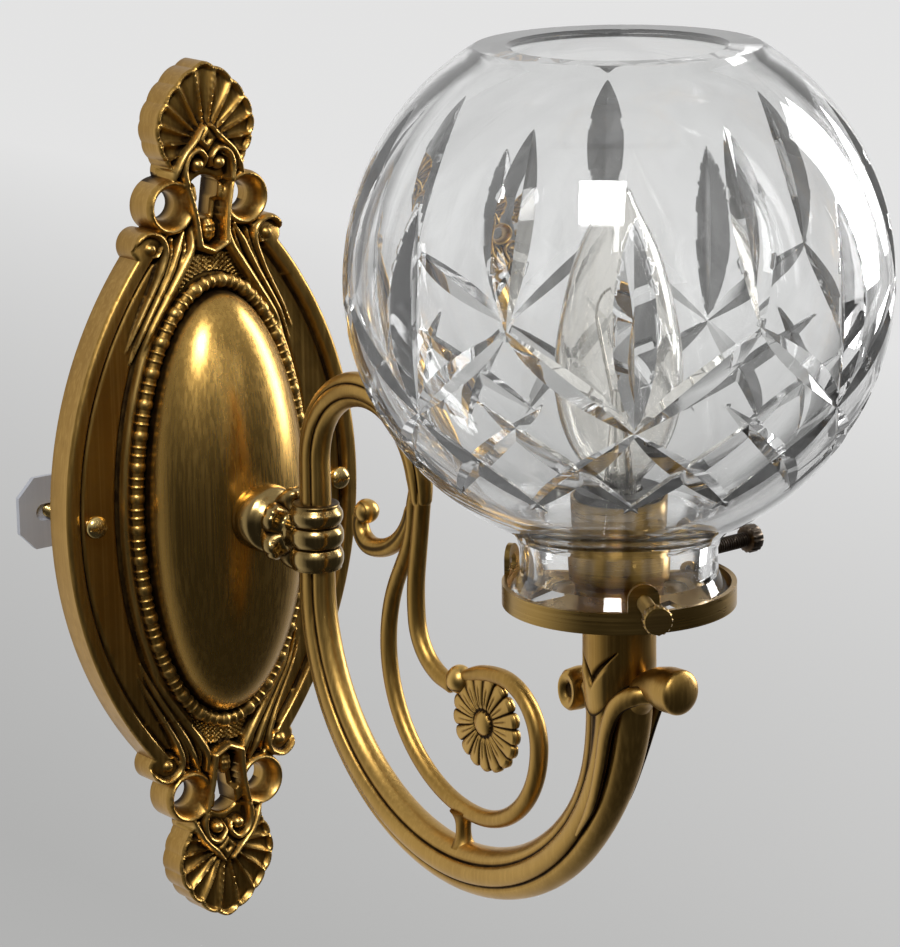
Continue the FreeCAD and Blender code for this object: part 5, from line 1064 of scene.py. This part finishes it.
leaf_rows = np.linspace(-4.1, 0, 46)[:-1]
across, down = np.meshgrid(np.arange(CUT_COLUMNS) / CELLS,
                           np.concatenate([leaf_rows, np.arange(0, 4.5 * CELLS) / CELLS])[::-1])
tiny = 0.004
for _ in range(2):
    east = (cut_depth(across + tiny, down) - cut_depth(across - tiny, down)) / (2 * tiny)
    south = (cut_depth(across, down + tiny) - cut_depth(across, down - tiny)) / (2 * tiny)
    steep = np.maximum(east ** 2 + south ** 2, 0.5)
    shift = np.clip(-cut_depth(across, down) / steep, -1, 1)
    close = np.hypot(shift * east, shift * south) < 0.45 / CELLS
    across, down = (np.where(close, across + shift * east, across),
                    np.where(close, down + shift * south, down))
spin, lat = FIRST_LEAF + np.radians(across * CELL_TURN), np.radians(BAND_TOP - CELL_FALL * down)
cut = np.clip(cut_depth(across, down), 0, DEEPEST)
ball = GLOBE_RADIUS - cut
zone = placed(ball * np.cos(lat) * np.cos(spin), ball * np.cos(lat) * np.sin(spin),
              GLOBE_CENTRE + ball * np.sin(lat))

GLOBE_FOOT = [(23.6, 12.4), (24.4, 11.9), (27.6, 12.1), (28.6, 12.9), (28.6, 14.6), (27.4, 16.6),
              (26.2, 19.0), (26.0, 22.5), (26.1, 26.1), (27.4, 29.4), (30.6, 32.6)]
GLOBE_MOUTH = [(36.9, 157.9), (28.6, 157.9), (27.2, 157.2)]
GLOBE_NECK = [(21.8, 33.0), (21.6, 30.0), (21.6, 20.0), (22.4, 15.0)]
lowest = math.degrees(math.asin((35.5 - GLOBE_CENTRE) / GLOBE_RADIUS))
foot_line = np.concatenate([
    GLOBE_FOOT, on_ball(GLOBE_RADIUS, np.linspace(lowest, BAND_TOP - CELL_FALL * 4.6, 6))])
lid_line = np.concatenate([
    on_ball(GLOBE_RADIUS, np.linspace(BAND_TOP + CELL_FALL * 4.25, 58.2, 7)), GLOBE_MOUTH,
    on_ball(GLOBE_INSIDE, np.linspace(65.0, -70.0, 20)), GLOBE_NECK])
ring_turn = FIRST_LEAF + np.radians(np.arange(CUT_COLUMNS) / CELLS * CELL_TURN)
foot, lid = [placed(line[:, :1] * np.cos(ring_turn), line[:, :1] * np.sin(ring_turn), line[:, 1:])
             for line in (foot_line, lid_line)]
globe_points = np.concatenate([foot, zone, lid]) + np.array([0, AXIS_Y, 0])

# Each cell of the cut zone is split along the diagonal that comes nearer to the cut at its middle.
quads = grid_faces(len(globe_points), CUT_COLUMNS, True)
row_of = quads[:, 0] // CUT_COLUMNS
in_zone = (row_of >= len(foot)) & (row_of < len(foot) + len(zone) - 1)
cells = quads[in_zone]
middle_cut = np.clip(cut_depth(sum(cell_corners(across, LEAF_CELLS)) / 4, sum(cell_corners(down)) / 4),
                     0, DEEPEST)
here, above, beside, opposite = cell_corners(cut)
first_best = (np.abs((here + opposite) / 2 - middle_cut)
              <= np.abs((beside + above) / 2 - middle_cut)).reshape(-1, 1, 1)
triangles = np.where(first_best, cells[:, [[0, 1, 2], [0, 2, 3]]], cells[:, [[0, 1, 3], [1, 2, 3]]])
made_piece("cut_globe", globe_points.reshape(-1, 3),
           quads[~in_zone].tolist() + triangles.reshape(-1, 3).tolist(),
           np.zeros(len(globe_points) * CUT_COLUMNS), crystal, "globe", "crystal", ("glass_globe",),
           crease=20)
